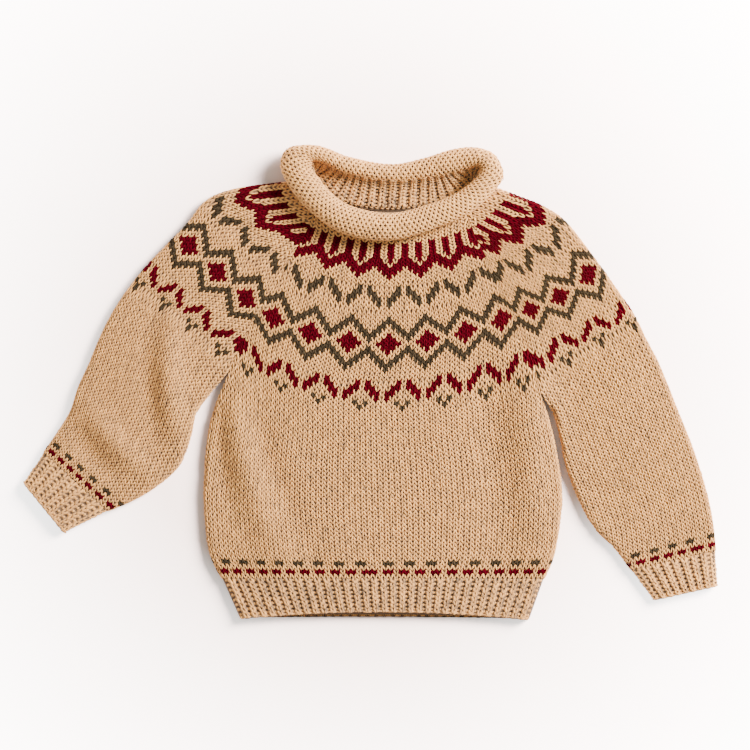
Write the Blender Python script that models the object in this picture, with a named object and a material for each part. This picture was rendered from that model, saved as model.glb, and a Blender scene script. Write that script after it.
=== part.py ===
"""Child's knitted yoke sweater with a rolled collar, laid flat with its front up.

Built as a knitter would make it up: front, back and two raglan sleeves, each a
knitted wall, with ribbed hems and cuffs, a ribbed neckband and the plain edge
that rolls outward over it. +Z is up, +Y runs from the hem to the neck and +X is
to the right of somebody who looks down on the front. The origin is on the
surface that the sweater lies on, under the middle of its box. The tables are in
millimetres from a point near the middle of the chest, and every position is
turned into metres from the origin when a solid is made.
"""
import math
from collections import namedtuple

import bmesh
import bpy
from mathutils import Vector

MM = 0.001
# The middle of the sweater's box, in the tables' millimetres
BOX_MIDDLE = Vector((1.26, -1.14, 0.0))

# Thickness of the cloth and how the layers lie
WALL = 3.0
LAYER_GAP = 3.0
SEAM_GAP = 0.3
BACK_LEVEL = WALL / 2
FRONT_LEVEL = WALL * 1.5 + LAYER_GAP
FOLD_RADIUS = (FRONT_LEVEL - BACK_LEVEL) / 2
SIDE_BEND = math.radians(84.0)

# 1x1 rib
RIB_HEIGHT = 1.1
RIB_WAVE = (1.0, 1.0, 0.0, 0.0)
HEM_RIBS = 31
CUFF_RIBS = 8
NECK_RIBS = 40

# How finely each form is divided
BEND_STEPS = 3
PANEL_STEPS = 15
SLEEVE_TOP_STEPS = 7
SLEEVE_FOLD_STEPS = 5
SLEEVE_UNDER_STEPS = 3
ROWS_PER_COURSE = 2
RIB_ROWS = 2
BAND_ROWS = 3
ROLL_STATIONS = NECK_RIBS * len(RIB_WAVE) // 2
ROLL_STEPS = 8
# The stretch to each side, as a share of the way round, that a neck tangent spans
NECK_TANGENT_REACH = 0.012

SHARP_ANGLE = math.radians(50.0)
WOOL_ROUGHNESS = 0.9
OATMEAL = (0.68, 0.50, 0.32, 1.0)
RIB_OATMEAL = (0.64, 0.46, 0.29, 1.0)

# The raglan seams, where the sleeves join the front and, under it, the back: how
# far to the side they lie at each height.
Raglan = namedtuple("Raglan", "y right_x left_x")
RAGLANS = (
    Raglan(156.2, -42.0, 77.0),
    Raglan(123.7, -55.2, 90.3),
    Raglan(90.0, -76.5, 107.4),
    Raglan(50.0, -99.5, 123.8),
    Raglan(16.7, -116.0, 140.0),
    Raglan(-9.8, -128.0, 145.9),
)


def raglan_x(y, side):
    """How far to the side a raglan seam lies at a height."""
    column = "right_x" if side < 0 else "left_x"
    upper, lower = next((a, b) for a, b in zip(RAGLANS, RAGLANS[1:]) if y >= b.y)
    part = (upper.y - y) / (upper.y - lower.y)
    return getattr(upper, column) * (1 - part) + getattr(lower, column) * part


def right_raglan(y):
    """The point of the wearer's right raglan seam at a height."""
    return raglan_x(y, -1), y


def left_raglan(y):
    """The point of the wearer's left raglan seam at a height."""
    return raglan_x(y, 1), y


# Body courses from the neck to the rib seam: the ends of a row of knitting on the
# left and right edge, the height of its middle, which sags in the yoke, and how
# far the edge is bent down to its side seam (0 in the raglan, 1 at the side).
Course = namedtuple("Course", "name left_x left_y right_x right_y middle_y bend")
FRONT_COURSES = (
    Course("neck", *right_raglan(144.2), *left_raglan(142.5), 129.7, 0),
    Course("burgundy_points", *right_raglan(123.7), *left_raglan(123.7), 107.4, 0),
    Course("chevrons", *right_raglan(99.7), *left_raglan(98.0), 72.3, 0),
    Course("diamonds", *right_raglan(59.5), *left_raglan(50.1), 30.4, 0),
    Course("low_chevrons", *right_raglan(27.8), *left_raglan(16.7), -9.0, 0),
    Course("underarm", *right_raglan(7.3), *left_raglan(-9.8), -28.7, 0),
    Course("chest", -134.0, -25.5, 152.6, -29.5, -51.8, 1),
    Course("waist", -140.0, -59.5, 160.0, -59.5, -74.0, 1),
    Course("belly", -142.1, -102.3, 165.2, -102.3, -109.1, 1),
    Course("low_belly", -137.8, -145.1, 159.2, -145.1, -147.7, 1),
    Course("rib_seam", -127.5, -168.2, 150.7, -168.2, -168.2, 1),
)
BACK_NECK = Course("neck", *right_raglan(156.2), *left_raglan(156.2), 144.2, 0)
FRONT_HEM_EDGE = Course("hem_edge", -112.6, -202.4, 138.2, -203.3, -196.6, 1)
BACK_HEM_EDGE = Course("hem_edge", -112.6, -201.4, 138.2, -202.3, -200.6, 1)

# Sleeve courses from the neck to the cuff seam: where a row meets the front and
# the back raglan (below the underarm, the sleeve's own seam), where it turns round
# the outer fold, and how far the seam edges are bent down to meet each other.
Turn = namedtuple("Turn", "front_x front_y back_x back_y fold_x fold_y bend")
RIGHT_SLEEVE = (
    Turn(*right_raglan(144.2), *right_raglan(156.2), -61.2, 171.6, 0),
    Turn(*right_raglan(125.4), *right_raglan(132.0), -114.3, 164.4, 0),
    Turn(*right_raglan(109.6), *right_raglan(112.6), -140.0, 154.5, 0),
    Turn(*right_raglan(90.7), *right_raglan(92.0), -155.4, 135.7, 0),
    Turn(*right_raglan(59.5), *right_raglan(59.5), -175.1, 115.1, 0),
    Turn(*right_raglan(27.8), *right_raglan(27.8), -195.6, 92.9, 0),
    Turn(*right_raglan(7.3), *right_raglan(7.3), -211.9, 71.5, 0),
    Turn(-135.7, -11.6, -135.7, -11.6, -223.8, 51.8, 1),
    Turn(-147.7, -28.7, -147.7, -28.7, -232.4, 33.8, 1),
    Turn(-152.8, -50.9, -152.8, -50.9, -240.1, 15.0, 1),
    Turn(-162.2, -73.2, -162.2, -73.2, -249.5, -5.6, 1),
    Turn(-181.0, -90.3, -181.0, -90.3, -255.9, -25.3, 1),
    Turn(-200.7, -102.3, -200.7, -102.3, -266.6, -43.2, 1),
    Turn(-222.1, -111.7, -222.1, -111.7, -278.6, -60.3, 1),
)
RIGHT_CUFF_EDGE = Turn(-258.9, -130.5, -258.9, -130.5, -295.7, -86.0, 1)
LEFT_SLEEVE = (
    Turn(*left_raglan(142.5), *left_raglan(156.2), 100.6, 168.2, 0),
    Turn(*left_raglan(122.0), *left_raglan(130.0), 123.7, 159.6, 0),
    Turn(*left_raglan(105.0), *left_raglan(109.0), 148.5, 149.4, 0),
    Turn(*left_raglan(83.5), *left_raglan(85.0), 168.2, 135.7, 0),
    Turn(*left_raglan(50.1), *left_raglan(50.1), 194.7, 102.3, 0),
    Turn(*left_raglan(16.7), *left_raglan(16.7), 224.7, 59.5, 0),
    Turn(*left_raglan(-9.8), *left_raglan(-9.8), 236.7, 36.4, 0),
    Turn(157.2, -29.5, 157.2, -29.5, 247.4, 15.8, 1),
    Turn(162.6, -50.5, 162.6, -50.5, 256.8, -6.8, 1),
    Turn(166.9, -71.5, 166.9, -71.5, 265.8, -29.5, 1),
    Turn(173.6, -91.2, 173.6, -91.2, 274.8, -51.8, 1),
    Turn(182.5, -110.9, 182.5, -110.9, 282.5, -74.0, 1),
    Turn(193.9, -128.8, 193.9, -128.8, 289.3, -97.2, 1),
    Turn(209.3, -143.8, 209.3, -143.8, 294.0, -120.7, 1),
    Turn(222.1, -161.4, 222.1, -161.4, 296.6, -144.2, 1),
)
LEFT_CUFF_EDGE = Turn(241.0, -187.0, 241.0, -187.0, 298.3, -174.2, 1)

# The largest folds of the upper layer: a soft ridge (or, below zero, a trough)
# along the curve from its start past its middle to its end.
Fold = namedtuple("Fold", "name start middle end height reach")
FOLDS = (
    Fold("front_right_ridge", (-111, -8), (-107, -62), (-78, -152), 4.2, 11.0),
    Fold("front_right_trough", (-91, -22), (-88, -66), (-36, -160), -1.2, 12.0),
    Fold("front_left_ridge", (139, 12), (142, -52), (144, -150), 4.6, 12.0),
    Fold("sleeve_right_ridge", (-168, 50), (-171, -4), (-163, -52), 4.4, 10.0),
    Fold("sleeve_right_trough", (-186, 48), (-189, -4), (-180, -50), -1.2, 11.0),
    Fold("elbow_ridge", (-240, -24), (-220, -50), (-192, -78), 3.6, 10.0),
    Fold("elbow_trough", (-254, -40), (-236, -64), (-216, -84), -1.0, 10.0),
    Fold("sleeve_left_swell", (190, 40), (222, -40), (250, -110), 1.6, 34.0),
)
FOLD_SAMPLES = 12
# A fold keeps a trace of its height at its very ends and is blunt, not pointed
FOLD_END = 0.06
FOLD_BLUNTNESS = 0.6

# The rolled collar, once round from the middle of the back past the wearer's
# left: share of the way round the neck, inner and outer edge of the roll as seen
# from above, and its lowest and highest level.
Roll = namedtuple("Roll", "share inner_x inner_y outer_x outer_y bottom top")
ROLLS = (
    Roll(0.00, 18.4, 169.1, 18.4, 184.9, 0.3, 15.0),
    Roll(0.08, 49.2, 171.6, 46.7, 190.0, 0.3, 17.0),
    Roll(0.15, 70.6, 176.3, 70.6, 197.3, 0.3, 20.0),
    Roll(0.19, 84.3, 180.2, 89.5, 199.0, 1.0, 22.0),
    Roll(0.22, 92.0, 181.9, 104.9, 193.9, 4.0, 25.0),
    Roll(0.25, 93.7, 178.5, 113.4, 180.2, 8.0, 27.0),
    Roll(0.28, 89.5, 171.6, 111.7, 168.2, 9.5, 28.0),
    Roll(0.33, 74.9, 160.5, 90.3, 145.9, 9.5, 28.0),
    Roll(0.40, 53.5, 151.1, 62.9, 132.3, 9.5, 28.0),
    Roll(0.50, 18.4, 142.5, 18.4, 119.0, 9.5, 28.0),
    Roll(0.60, -15.0, 148.5, -22.7, 125.0, 9.5, 28.0),
    Roll(0.667, -33.0, 160.1, -49.2, 142.5, 9.5, 28.0),
    Roll(0.72, -42.4, 171.6, -67.2, 163.1, 9.5, 28.0),
    Roll(0.76, -49.2, 181.5, -75.8, 182.8, 7.0, 26.0),
    Roll(0.79, -47.4, 186.4, -69.8, 197.7, 4.0, 24.0),
    Roll(0.83, -38.9, 184.5, -45.8, 200.7, 1.0, 22.0),
    Roll(0.90, -19.3, 175.5, -18.4, 191.3, 0.3, 18.0),
)
ROLL_START = (-5.0, 35.0)
ROLL_END = (260.0, 20.0)


def spline(p0, p1, p2, p3, t):
    """Smooth value between p1 and p2 that also heeds their neighbours."""
    return 0.5 * (2 * p1 + (p2 - p0) * t + (2 * p0 - 5 * p1 + 4 * p2 - p3) * t * t
                  + (3 * p1 - p0 - 3 * p2 + p3) * t ** 3)


def smooth_rows(rows, per_gap):
    """Table rows with more rows worked out smoothly between them."""
    kind = type(rows[0])
    columns = [name for name in kind._fields if name != "name"]
    finer = []
    for step in range((len(rows) - 1) * per_gap + 1):
        index = min(step // per_gap, len(rows) - 2)
        part = step / per_gap - index
        near = [rows[max(index - 1, 0)], rows[index], rows[index + 1],
                rows[min(index + 2, len(rows) - 1)]]
        values = {c: spline(*(getattr(row, c) for row in near), part) for c in columns}
        values["bend"] = near[1].bend * (1 - part) + near[2].bend * part
        if "name" in kind._fields:
            values["name"] = near[1].name
        if values["bend"] == 0:
            for end in ("left", "right", "front", "back"):
                if end + "_x" in values:
                    side = values[end + "_x"]
                    values[end + "_x"] = raglan_x(values[end + "_y"], side)
        finer.append(kind(**values))
    return finer


def bezier_line(fold):
    """Points along a fold's curve, which passes through its middle point."""
    start, middle, end = Vector(fold.start), Vector(fold.middle), Vector(fold.end)
    pull = middle * 2 - (start + end) / 2
    line = []
    for step in range(FOLD_SAMPLES + 1):
        t = step / FOLD_SAMPLES
        line.append(start * (1 - t) ** 2 + pull * 2 * t * (1 - t) + end * t * t)
    return line


FOLD_LINES = [(fold, bezier_line(fold)) for fold in FOLDS]


def fold_height(x, y):
    """How far the upper layer stands above its flat level at a place."""
    here = Vector((x, y))
    height = 0.0
    for fold, line in FOLD_LINES:
        best, place = None, 0.0
        for step in range(FOLD_SAMPLES):
            run = line[step + 1] - line[step]
            part = max(0.0, min(1.0, (here - line[step]).dot(run) / run.length_squared))
            gap = (here - line[step] - run * part).length
            if best is None or gap < best:
                best, place = gap, (step + part) / FOLD_SAMPLES
        fade = math.sin(math.pi * min(max(place, FOLD_END), 1 - FOLD_END)) ** FOLD_BLUNTNESS
        height += fold.height * fade * math.exp(-(best / fold.reach) ** 2)
    return height


def bent_edge(distance, bend):
    """A strip bent down at its edge, at a distance along the strip from its end.

    Gives how far in from the outermost line the strip's middle is, how far it has
    dropped, and the sideways and upward parts of its outward normal.
    """
    angle = SIDE_BEND * bend
    turned = FOLD_RADIUS * angle
    reach = (FOLD_RADIUS + WALL / 2) * math.sin(angle)
    if distance >= turned:
        return reach + distance - turned, 0.0, 0.0, 1.0
    left = angle - distance / FOLD_RADIUS
    return (reach - FOLD_RADIUS * math.sin(left), FOLD_RADIUS * (1 - math.cos(left)),
            math.sin(left), math.cos(left))


def strip_stations(width, bend, steps):
    """Distances along a strip: close together in each bent edge, then even."""
    bent = FOLD_RADIUS * SIDE_BEND
    reach = (FOLD_RADIUS + WALL / 2) * math.sin(SIDE_BEND * bend)
    saved = reach - bent * bend
    length = width - 2 * saved
    stations = [bent * k / BEND_STEPS for k in range(BEND_STEPS)]
    stations += [bent + (length - 2 * bent) * k / steps for k in range(steps + 1)]
    stations += [length - bent * k / BEND_STEPS for k in range(BEND_STEPS - 1, -1, -1)]
    return stations, length


def rib_relief(index, last):
    """How far a rib or the furrow beside it stands above or below the plain wall."""
    if not 0 <= index <= last:
        return 0.0
    return RIB_HEIGHT * (RIB_WAVE[index % len(RIB_WAVE)] - 0.5)


def panel_section(course, steps, upper, ribbed=False):
    """Outer and inner points of one course of a body panel, from left to right."""
    inset = SEAM_GAP / 2
    start = Vector((course.left_x + inset, course.left_y))
    end = Vector((course.right_x - inset, course.right_y))
    width = (end - start).length
    sag = course.middle_y - (course.left_y + course.right_y) / 2
    stations, length = strip_stations(width, course.bend, steps)
    outer, inner = [], []
    for index, distance in enumerate(stations):
        from_left = distance <= length / 2
        offset, drop, side, up = bent_edge(min(distance, length - distance), course.bend)
        share = (offset if from_left else width - offset) / width
        x, y = start.lerp(end, share)
        y += sag * 4 * share * (1 - share)
        sideways = -side if from_left else side
        normal = Vector((sideways, 0.0, up if upper else -up))
        level = FRONT_LEVEL - drop + fold_height(x, y) * up if upper else BACK_LEVEL + drop
        middle = Vector((x, y, level))
        proud = rib_relief(index - BEND_STEPS, steps) if ribbed else 0.0
        outer.append(middle + normal * (WALL / 2 + proud))
        inner.append(middle - normal * WALL / 2)
    return outer, inner


def sleeve_section(turn, top_steps, ribbed=False):
    """Outer and inner points of one course of a sleeve, round from front to back."""
    front = Vector((turn.front_x, turn.front_y))
    back = Vector((turn.back_x, turn.back_y))
    fold = Vector((turn.fold_x, turn.fold_y))
    inset = SEAM_GAP / 2
    bent = FOLD_RADIUS * SIDE_BEND
    fold_reach = FOLD_RADIUS + WALL / 2
    outer, inner = [], []

    def put(edge, from_edge, level, side, up, relief):
        along = (fold - edge).normalized()
        plan = edge + along * (inset + from_edge)
        normal = Vector((along.x * side, along.y * side, up))
        if up > 0:
            level += fold_height(plan.x, plan.y) * up
        middle = Vector((plan.x, plan.y, level))
        outer.append(middle + normal * (WALL / 2 + relief))
        inner.append(middle - normal * WALL / 2)

    def flat_width(edge):
        return (fold - edge).length - inset - fold_reach

    width = flat_width(front)
    turned_in = bent_edge(bent, turn.bend)[0]
    for k in range(BEND_STEPS):
        offset, drop, side, up = bent_edge(bent * k / BEND_STEPS, turn.bend)
        put(front, offset, FRONT_LEVEL - drop, -side, up, 0.0)
    for k in range(top_steps):
        relief = rib_relief(k, top_steps) if ribbed else 0.0
        offset = turned_in + (width - turned_in) * k / top_steps
        put(front, offset, FRONT_LEVEL, 0.0, 1.0, relief)
    for k in range(SLEEVE_FOLD_STEPS + 1):
        angle = math.pi * k / SLEEVE_FOLD_STEPS
        edge = front.lerp(back, k / SLEEVE_FOLD_STEPS)
        offset = flat_width(edge) + FOLD_RADIUS * math.sin(angle)
        level = (FRONT_LEVEL + BACK_LEVEL) / 2 + FOLD_RADIUS * math.cos(angle)
        put(edge, offset, level, math.sin(angle), math.cos(angle), 0.0)
    width = flat_width(back)
    for k in range(1, SLEEVE_UNDER_STEPS + 1):
        offset = width + (turned_in - width) * k / SLEEVE_UNDER_STEPS
        put(back, offset, BACK_LEVEL, 0.0, -1.0, 0.0)
    for k in range(BEND_STEPS - 1, -1, -1):
        offset, drop, side, up = bent_edge(bent * k / BEND_STEPS, turn.bend)
        put(back, offset, BACK_LEVEL + drop, -side, -up, 0.0)
    return outer, inner


def wall_solid(name, outer, inner, color, ring=False):
    """One closed solid between two grids of points, a row of the grid for a course."""
    mesh = bpy.data.meshes.new(name)
    work = bmesh.new()
    top = [[work.verts.new((p - BOX_MIDDLE) * MM) for p in row] for row in outer]
    under = [[work.verts.new((p - BOX_MIDDLE) * MM) for p in row] for row in inner]
    rows, columns = len(outer), len(outer[0])
    across = columns if ring else columns - 1
    for r in range(rows - 1):
        for c in range(across):
            d = (c + 1) % columns
            work.faces.new((top[r][c], top[r][d], top[r + 1][d], top[r + 1][c]))
            work.faces.new((under[r][c], under[r + 1][c], under[r + 1][d], under[r][d]))
    for c in range(across):
        d = (c + 1) % columns
        work.faces.new((top[0][d], top[0][c], under[0][c], under[0][d]))
        work.faces.new((top[-1][c], top[-1][d], under[-1][d], under[-1][c]))
    if not ring:
        for r in range(rows - 1):
            work.faces.new((top[r][0], top[r + 1][0], under[r + 1][0], under[r][0]))
            work.faces.new((top[r + 1][-1], top[r][-1], under[r][-1], under[r + 1][-1]))
    bmesh.ops.recalc_face_normals(work, faces=work.faces)
    work.to_mesh(mesh)
    work.free()
    mesh.shade_smooth()
    mesh.set_sharp_from_angle(angle=SHARP_ANGLE)
    piece = bpy.data.objects.new(name, mesh)
    bpy.context.collection.objects.link(piece)
    mesh.materials.append(cloth(name + "_knit", color))
    return piece


def cloth(name, color):
    """Matt wool of one colour."""
    material = bpy.data.materials.new(name)
    material.use_nodes = True
    surface = material.node_tree.nodes["Principled BSDF"]
    surface.inputs["Base Color"].default_value = color
    surface.inputs["Roughness"].default_value = WOOL_ROUGHNESS
    surface.inputs["Metallic"].default_value = 0.0
    return material


def mix_rows(first, second, part):
    """A table row part of the way from one row to another."""
    values = {}
    for column in first._fields:
        a, b = getattr(first, column), getattr(second, column)
        values[column] = a if isinstance(a, str) else a + (b - a) * part
    return type(first)(**values)


def band_rows(seam, edge, ends, rows):
    """Rows of a rib band from its seam, less the gap kept there, to its free edge."""
    run = (Vector(ends[1]) - Vector(ends[0])).length
    start = SEAM_GAP / run
    return [mix_rows(seam, edge, start + (1 - start) * k / rows) for k in range(rows + 1)]


def grids(sections):
    """Outer and inner grids from a list of sections."""
    return [s[0] for s in sections], [s[1] for s in sections]


def make_panel(name, courses, steps, upper):
    """A body panel from its courses; gives its neck edge's outer and inner points."""
    finer = smooth_rows(courses, ROWS_PER_COURSE)
    outer, inner = grids([panel_section(course, steps, upper) for course in finer])
    wall_solid(name, outer, inner, OATMEAL)
    return outer[0], inner[0]


def make_sleeve(name, turns):
    """A sleeve from its courses; gives its neck edge's outer and inner points."""
    finer = smooth_rows(turns, ROWS_PER_COURSE)
    outer, inner = grids([sleeve_section(turn, SLEEVE_TOP_STEPS) for turn in finer])
    wall_solid(name, outer, inner, OATMEAL)
    return outer[0], inner[0]


def make_hem(name, seam, edge, steps, upper):
    """The rib band under a body panel; only the one that lies on top shows its ribs."""
    ends = ((seam.left_x, seam.left_y), (edge.left_x, edge.left_y))
    rows = band_rows(seam, edge, ends, RIB_ROWS)
    outer, inner = grids([panel_section(row, steps, upper, ribbed=upper) for row in rows])
    wall_solid(name, outer, inner, RIB_OATMEAL)


def make_cuff(name, seam, edge):
    """A ribbed cuff, flat as it lies, with its ribs on the side that shows."""
    ends = ((seam.fold_x, seam.fold_y), (edge.fold_x, edge.fold_y))
    rows = band_rows(seam, edge, ends, RIB_ROWS)
    steps = CUFF_RIBS * len(RIB_WAVE)
    outer, inner = grids([sleeve_section(row, steps, ribbed=True) for row in rows])
    wall_solid(name, outer, inner, RIB_OATMEAL)


def neck_loop(front, back, left, right):
    """The neck seam once round from the middle of the back past the wearer's left.

    A list of pairs: a point on the cloth's inside and one on its outside.
    """
    middle = len(back[0]) // 2
    loop = list(zip(back[1][middle:], back[0][middle:]))
    loop += list(zip(left[1][::-1], left[0][::-1]))
    loop += list(zip(front[1][::-1], front[0][::-1]))
    loop += list(zip(right[1], right[0]))
    loop += list(zip(back[1][:middle + 1], back[0][:middle + 1]))
    return loop


def loop_stations(loop, count):
    """Pairs at even steps round the neck, each with the way that the collar leaves."""
    middles = [(inside + outside) / 2 for inside, outside in loop]
    marks = [0.0]
    for a, b in zip(middles, middles[1:]):
        marks.append(marks[-1] + (b - a).length)

    def pair_at(share):
        target = (share % 1.0) * marks[-1]
        index = max(i for i in range(len(loop) - 1) if marks[i] <= target)
        part = (target - marks[index]) / (marks[index + 1] - marks[index])
        return [a.lerp(b, part) for a, b in zip(loop[index], loop[index + 1])]

    stations = []
    for k in range(count):
        share = k / count
        inside, outside = pair_at(share)
        ahead = pair_at(share + NECK_TANGENT_REACH)
        behind = pair_at(share - NECK_TANGENT_REACH)
        along = (ahead[0] + ahead[1] - behind[0] - behind[1]).normalized()
        leave = along.cross((outside - inside).normalized()).normalized()
        stations.append((share, inside, outside, leave))
    return stations


def roll_at(share):
    """The roll's table worked out smoothly at any share of the way round."""
    count = len(ROLLS)
    index = max(i for i in range(count) if ROLLS[i].share <= share)

    def row(i):
        turns, place = divmod(i, count)
        return ROLLS[place]._replace(share=ROLLS[place].share + turns)

    before, here, after, beyond = (row(index + k) for k in (-1, 0, 1, 2))
    span = after.share - here.share
    t = (share - here.share) / span
    values = {}
    for column in Roll._fields:
        a, b, c, d = (getattr(r, column) for r in (before, here, after, beyond))
        slope_in = (c - a) / (after.share - before.share) * span
        slope_out = (d - b) / (beyond.share - here.share) * span
        values[column] = (b * (2 * t ** 3 - 3 * t * t + 1) + slope_in * (t ** 3 - 2 * t * t + t)
                          + c * (3 * t * t - 2 * t ** 3) + slope_out * (t ** 3 - t * t))
    return Roll(**values)


def roll_curve(share):
    """The roll's section at a share: a function of the angle from its inner side.

    It gives the point in the middle of the cloth, the way the cloth runs on, and
    the normal on the side that shows.
    """
    roll = roll_at(share)
    inner = Vector((roll.inner_x, roll.inner_y, 0.0))
    outer = Vector((roll.outer_x, roll.outer_y, 0.0))
    away = (outer - inner).normalized()
    middle = (inner + outer) / 2 + Vector((0.0, 0.0, (roll.bottom + roll.top) / 2))
    across = (outer - inner).length / 2 - WALL / 2
    upright = (roll.top - roll.bottom) / 2 - WALL / 2

    def at(angle):
        point = middle - away * across * math.cos(angle)
        point.z += upright * math.sin(angle)
        slope = away * across * math.sin(angle)
        slope.z = upright * math.cos(angle)
        normal = away * -upright * math.cos(angle)
        normal.z = across * math.sin(angle)
        return point, slope.normalized(), normal.normalized()
    return at


def roll_angle(base_and_swing, share):
    """An angle of the roll that swings from the back of the neck to the front."""
    base, swing = base_and_swing
    return math.radians(base + swing * math.cos(math.tau * share))


def ring_normals(rings):
    """Unit normals on the cloth's inner side, over a grid that closes on itself."""
    normals = []
    for r, ring in enumerate(rings):
        above, below = rings[min(r + 1, len(rings) - 1)], rings[max(r - 1, 0)]
        row = []
        for c in range(len(ring)):
            around = ring[(c + 1) % len(ring)] - ring[c - 1]
            row.append(around.cross(above[c] - below[c]).normalized())
        normals.append(row)
    return normals


def make_neckband(loop):
    """The ribbed neckband, from the neck seam to where the plain edge starts to roll."""
    stations = loop_stations(loop, NECK_RIBS * len(RIB_WAVE))
    rings = [[] for _ in range(BAND_ROWS + 1)]
    end_normals = []
    for share, inside, outside, leave in stations:
        base = (inside + outside) / 2 + leave * SEAM_GAP
        end, slope, normal = roll_curve(share)(roll_angle(ROLL_START, share))
        end = end - slope * SEAM_GAP
        end_normals.append(normal)
        pull = (end - base).length / 3
        for k in range(BAND_ROWS + 1):
            t = k / BAND_ROWS
            rings[k].append(base * (1 - t) ** 3 + (base + leave * pull) * 3 * t * (1 - t) ** 2
                            + (end - slope * pull) * 3 * t * t * (1 - t) + end * t ** 3)
    normals = ring_normals(rings)
    shown, hidden = [], []
    for k, (ring, row) in enumerate(zip(rings, normals)):
        if k == 0:
            row = [(inside - outside).normalized() for _, inside, outside, _ in stations]
        if k == BAND_ROWS:
            row = end_normals
        proud = [WALL / 2 + rib_relief(c, len(ring)) for c in range(len(ring))]
        shown.append([p + n * out for p, n, out in zip(ring, row, proud)])
        hidden.append([p - n * WALL / 2 for p, n in zip(ring, row)])
    wall_solid("neckband", shown, hidden, RIB_OATMEAL, ring=True)


def make_roll():
    """The plain knit edge above the rib, which curls outward all round."""
    shown = [[] for _ in range(ROLL_STEPS + 1)]
    hidden = [[] for _ in range(ROLL_STEPS + 1)]
    for c in range(ROLL_STATIONS):
        share = c / ROLL_STATIONS
        section = roll_curve(share)
        first, last = roll_angle(ROLL_START, share), roll_angle(ROLL_END, share)
        for k in range(ROLL_STEPS + 1):
            point, _, normal = section(first + (last - first) * k / ROLL_STEPS)
            shown[k].append(point + normal * WALL / 2)
            hidden[k].append(point - normal * WALL / 2)
    wall_solid("collar_roll", shown, hidden, OATMEAL, ring=True)


for leftover in list(bpy.data.objects):
    bpy.data.objects.remove(leftover, do_unlink=True)

back_courses = (BACK_NECK,) + FRONT_COURSES[1:]
front_edge = make_panel("front", FRONT_COURSES, PANEL_STEPS, upper=True)
back_edge = make_panel("back", back_courses, PANEL_STEPS, upper=False)
right_edge = make_sleeve("sleeve_right", RIGHT_SLEEVE)
left_edge = make_sleeve("sleeve_left", LEFT_SLEEVE)
make_hem("hem_front", FRONT_COURSES[-1], FRONT_HEM_EDGE, HEM_RIBS * len(RIB_WAVE), upper=True)
make_hem("hem_back", FRONT_COURSES[-1], BACK_HEM_EDGE, PANEL_STEPS, upper=False)
make_cuff("cuff_right", RIGHT_SLEEVE[-1], RIGHT_CUFF_EDGE)
make_cuff("cuff_left", LEFT_SLEEVE[-1], LEFT_CUFF_EDGE)
make_neckband(neck_loop(front_edge, back_edge, left_edge, right_edge))
make_roll()
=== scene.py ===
import math
from collections import namedtuple

import bpy
import numpy as np
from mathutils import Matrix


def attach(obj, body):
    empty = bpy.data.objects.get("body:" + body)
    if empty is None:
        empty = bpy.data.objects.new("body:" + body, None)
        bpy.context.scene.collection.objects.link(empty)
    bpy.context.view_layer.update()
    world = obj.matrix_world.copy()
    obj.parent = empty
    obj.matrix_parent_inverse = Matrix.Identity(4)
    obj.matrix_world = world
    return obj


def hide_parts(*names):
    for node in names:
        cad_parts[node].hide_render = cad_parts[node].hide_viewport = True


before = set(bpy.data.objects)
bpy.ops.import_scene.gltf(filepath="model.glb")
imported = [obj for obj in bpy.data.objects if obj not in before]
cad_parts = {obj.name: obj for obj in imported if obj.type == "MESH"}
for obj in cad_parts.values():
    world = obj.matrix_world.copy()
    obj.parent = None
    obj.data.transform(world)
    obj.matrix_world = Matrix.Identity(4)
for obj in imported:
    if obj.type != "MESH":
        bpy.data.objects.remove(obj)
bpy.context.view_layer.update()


# ---------------------------------------------------------------------------
# Front. The front of the sweater: stocking stitch in oatmeal wool, with the
# burgundy and olive bands stranded in while knitting, and two rows of dashes
# above the hem. Each stitch is made of its two legs of yarn, over a thin wall.
# ---------------------------------------------------------------------------
random = np.random.default_rng(21)

# Lengths are in millimetres until a mesh is made, from a point near the chest
MM = 0.001
BOX_MIDDLE = np.array((1.26, -1.14, 0.0))
# The solids' walls, the gaps between the layers and at the seams, the levels of the
# two layers' middles, and the bend of a folded edge and of a side
WALL = 3.0
LAYER_GAP = 3.0
SEAM_GAP = 0.3
BACK_LEVEL = WALL / 2
FRONT_LEVEL = WALL * 1.5 + LAYER_GAP
FOLD_RADIUS = (FRONT_LEVEL - BACK_LEVEL) / 2
SIDE_BEND = math.radians(84.0)

# How far out the raglan seams lie on each side, by height
Raglan = namedtuple("Raglan", "y right_x left_x")
RAGLANS = (
    Raglan(156.2, -42.0, 77.0),
    Raglan(123.7, -55.2, 90.3),
    Raglan(90.0, -76.5, 107.4),
    Raglan(50.0, -99.5, 123.8),
    Raglan(16.7, -116.0, 140.0),
    Raglan(-9.8, -128.0, 145.9),
)


def raglan_x(y, column):
    """How far to the side a raglan seam lies at each height."""
    rising = RAGLANS[::-1]
    return np.interp(y, [r.y for r in rising], [getattr(r, column) for r in rising])


# Rows of knitting from the neck to the rib seam: the row's two ends, the height of
# its middle, how far its ends bend down (0 in the raglan, 1 at the side), and how
# much more it sags on the left than on the right
Course = namedtuple("Course", "left_x left_y right_x right_y middle_y bend skew")


def yoke_course(left_y, right_y, middle_y, skew):
    return Course(raglan_x(left_y, "right_x"), left_y, raglan_x(right_y, "left_x"),
                  right_y, middle_y, 0, skew)


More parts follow.
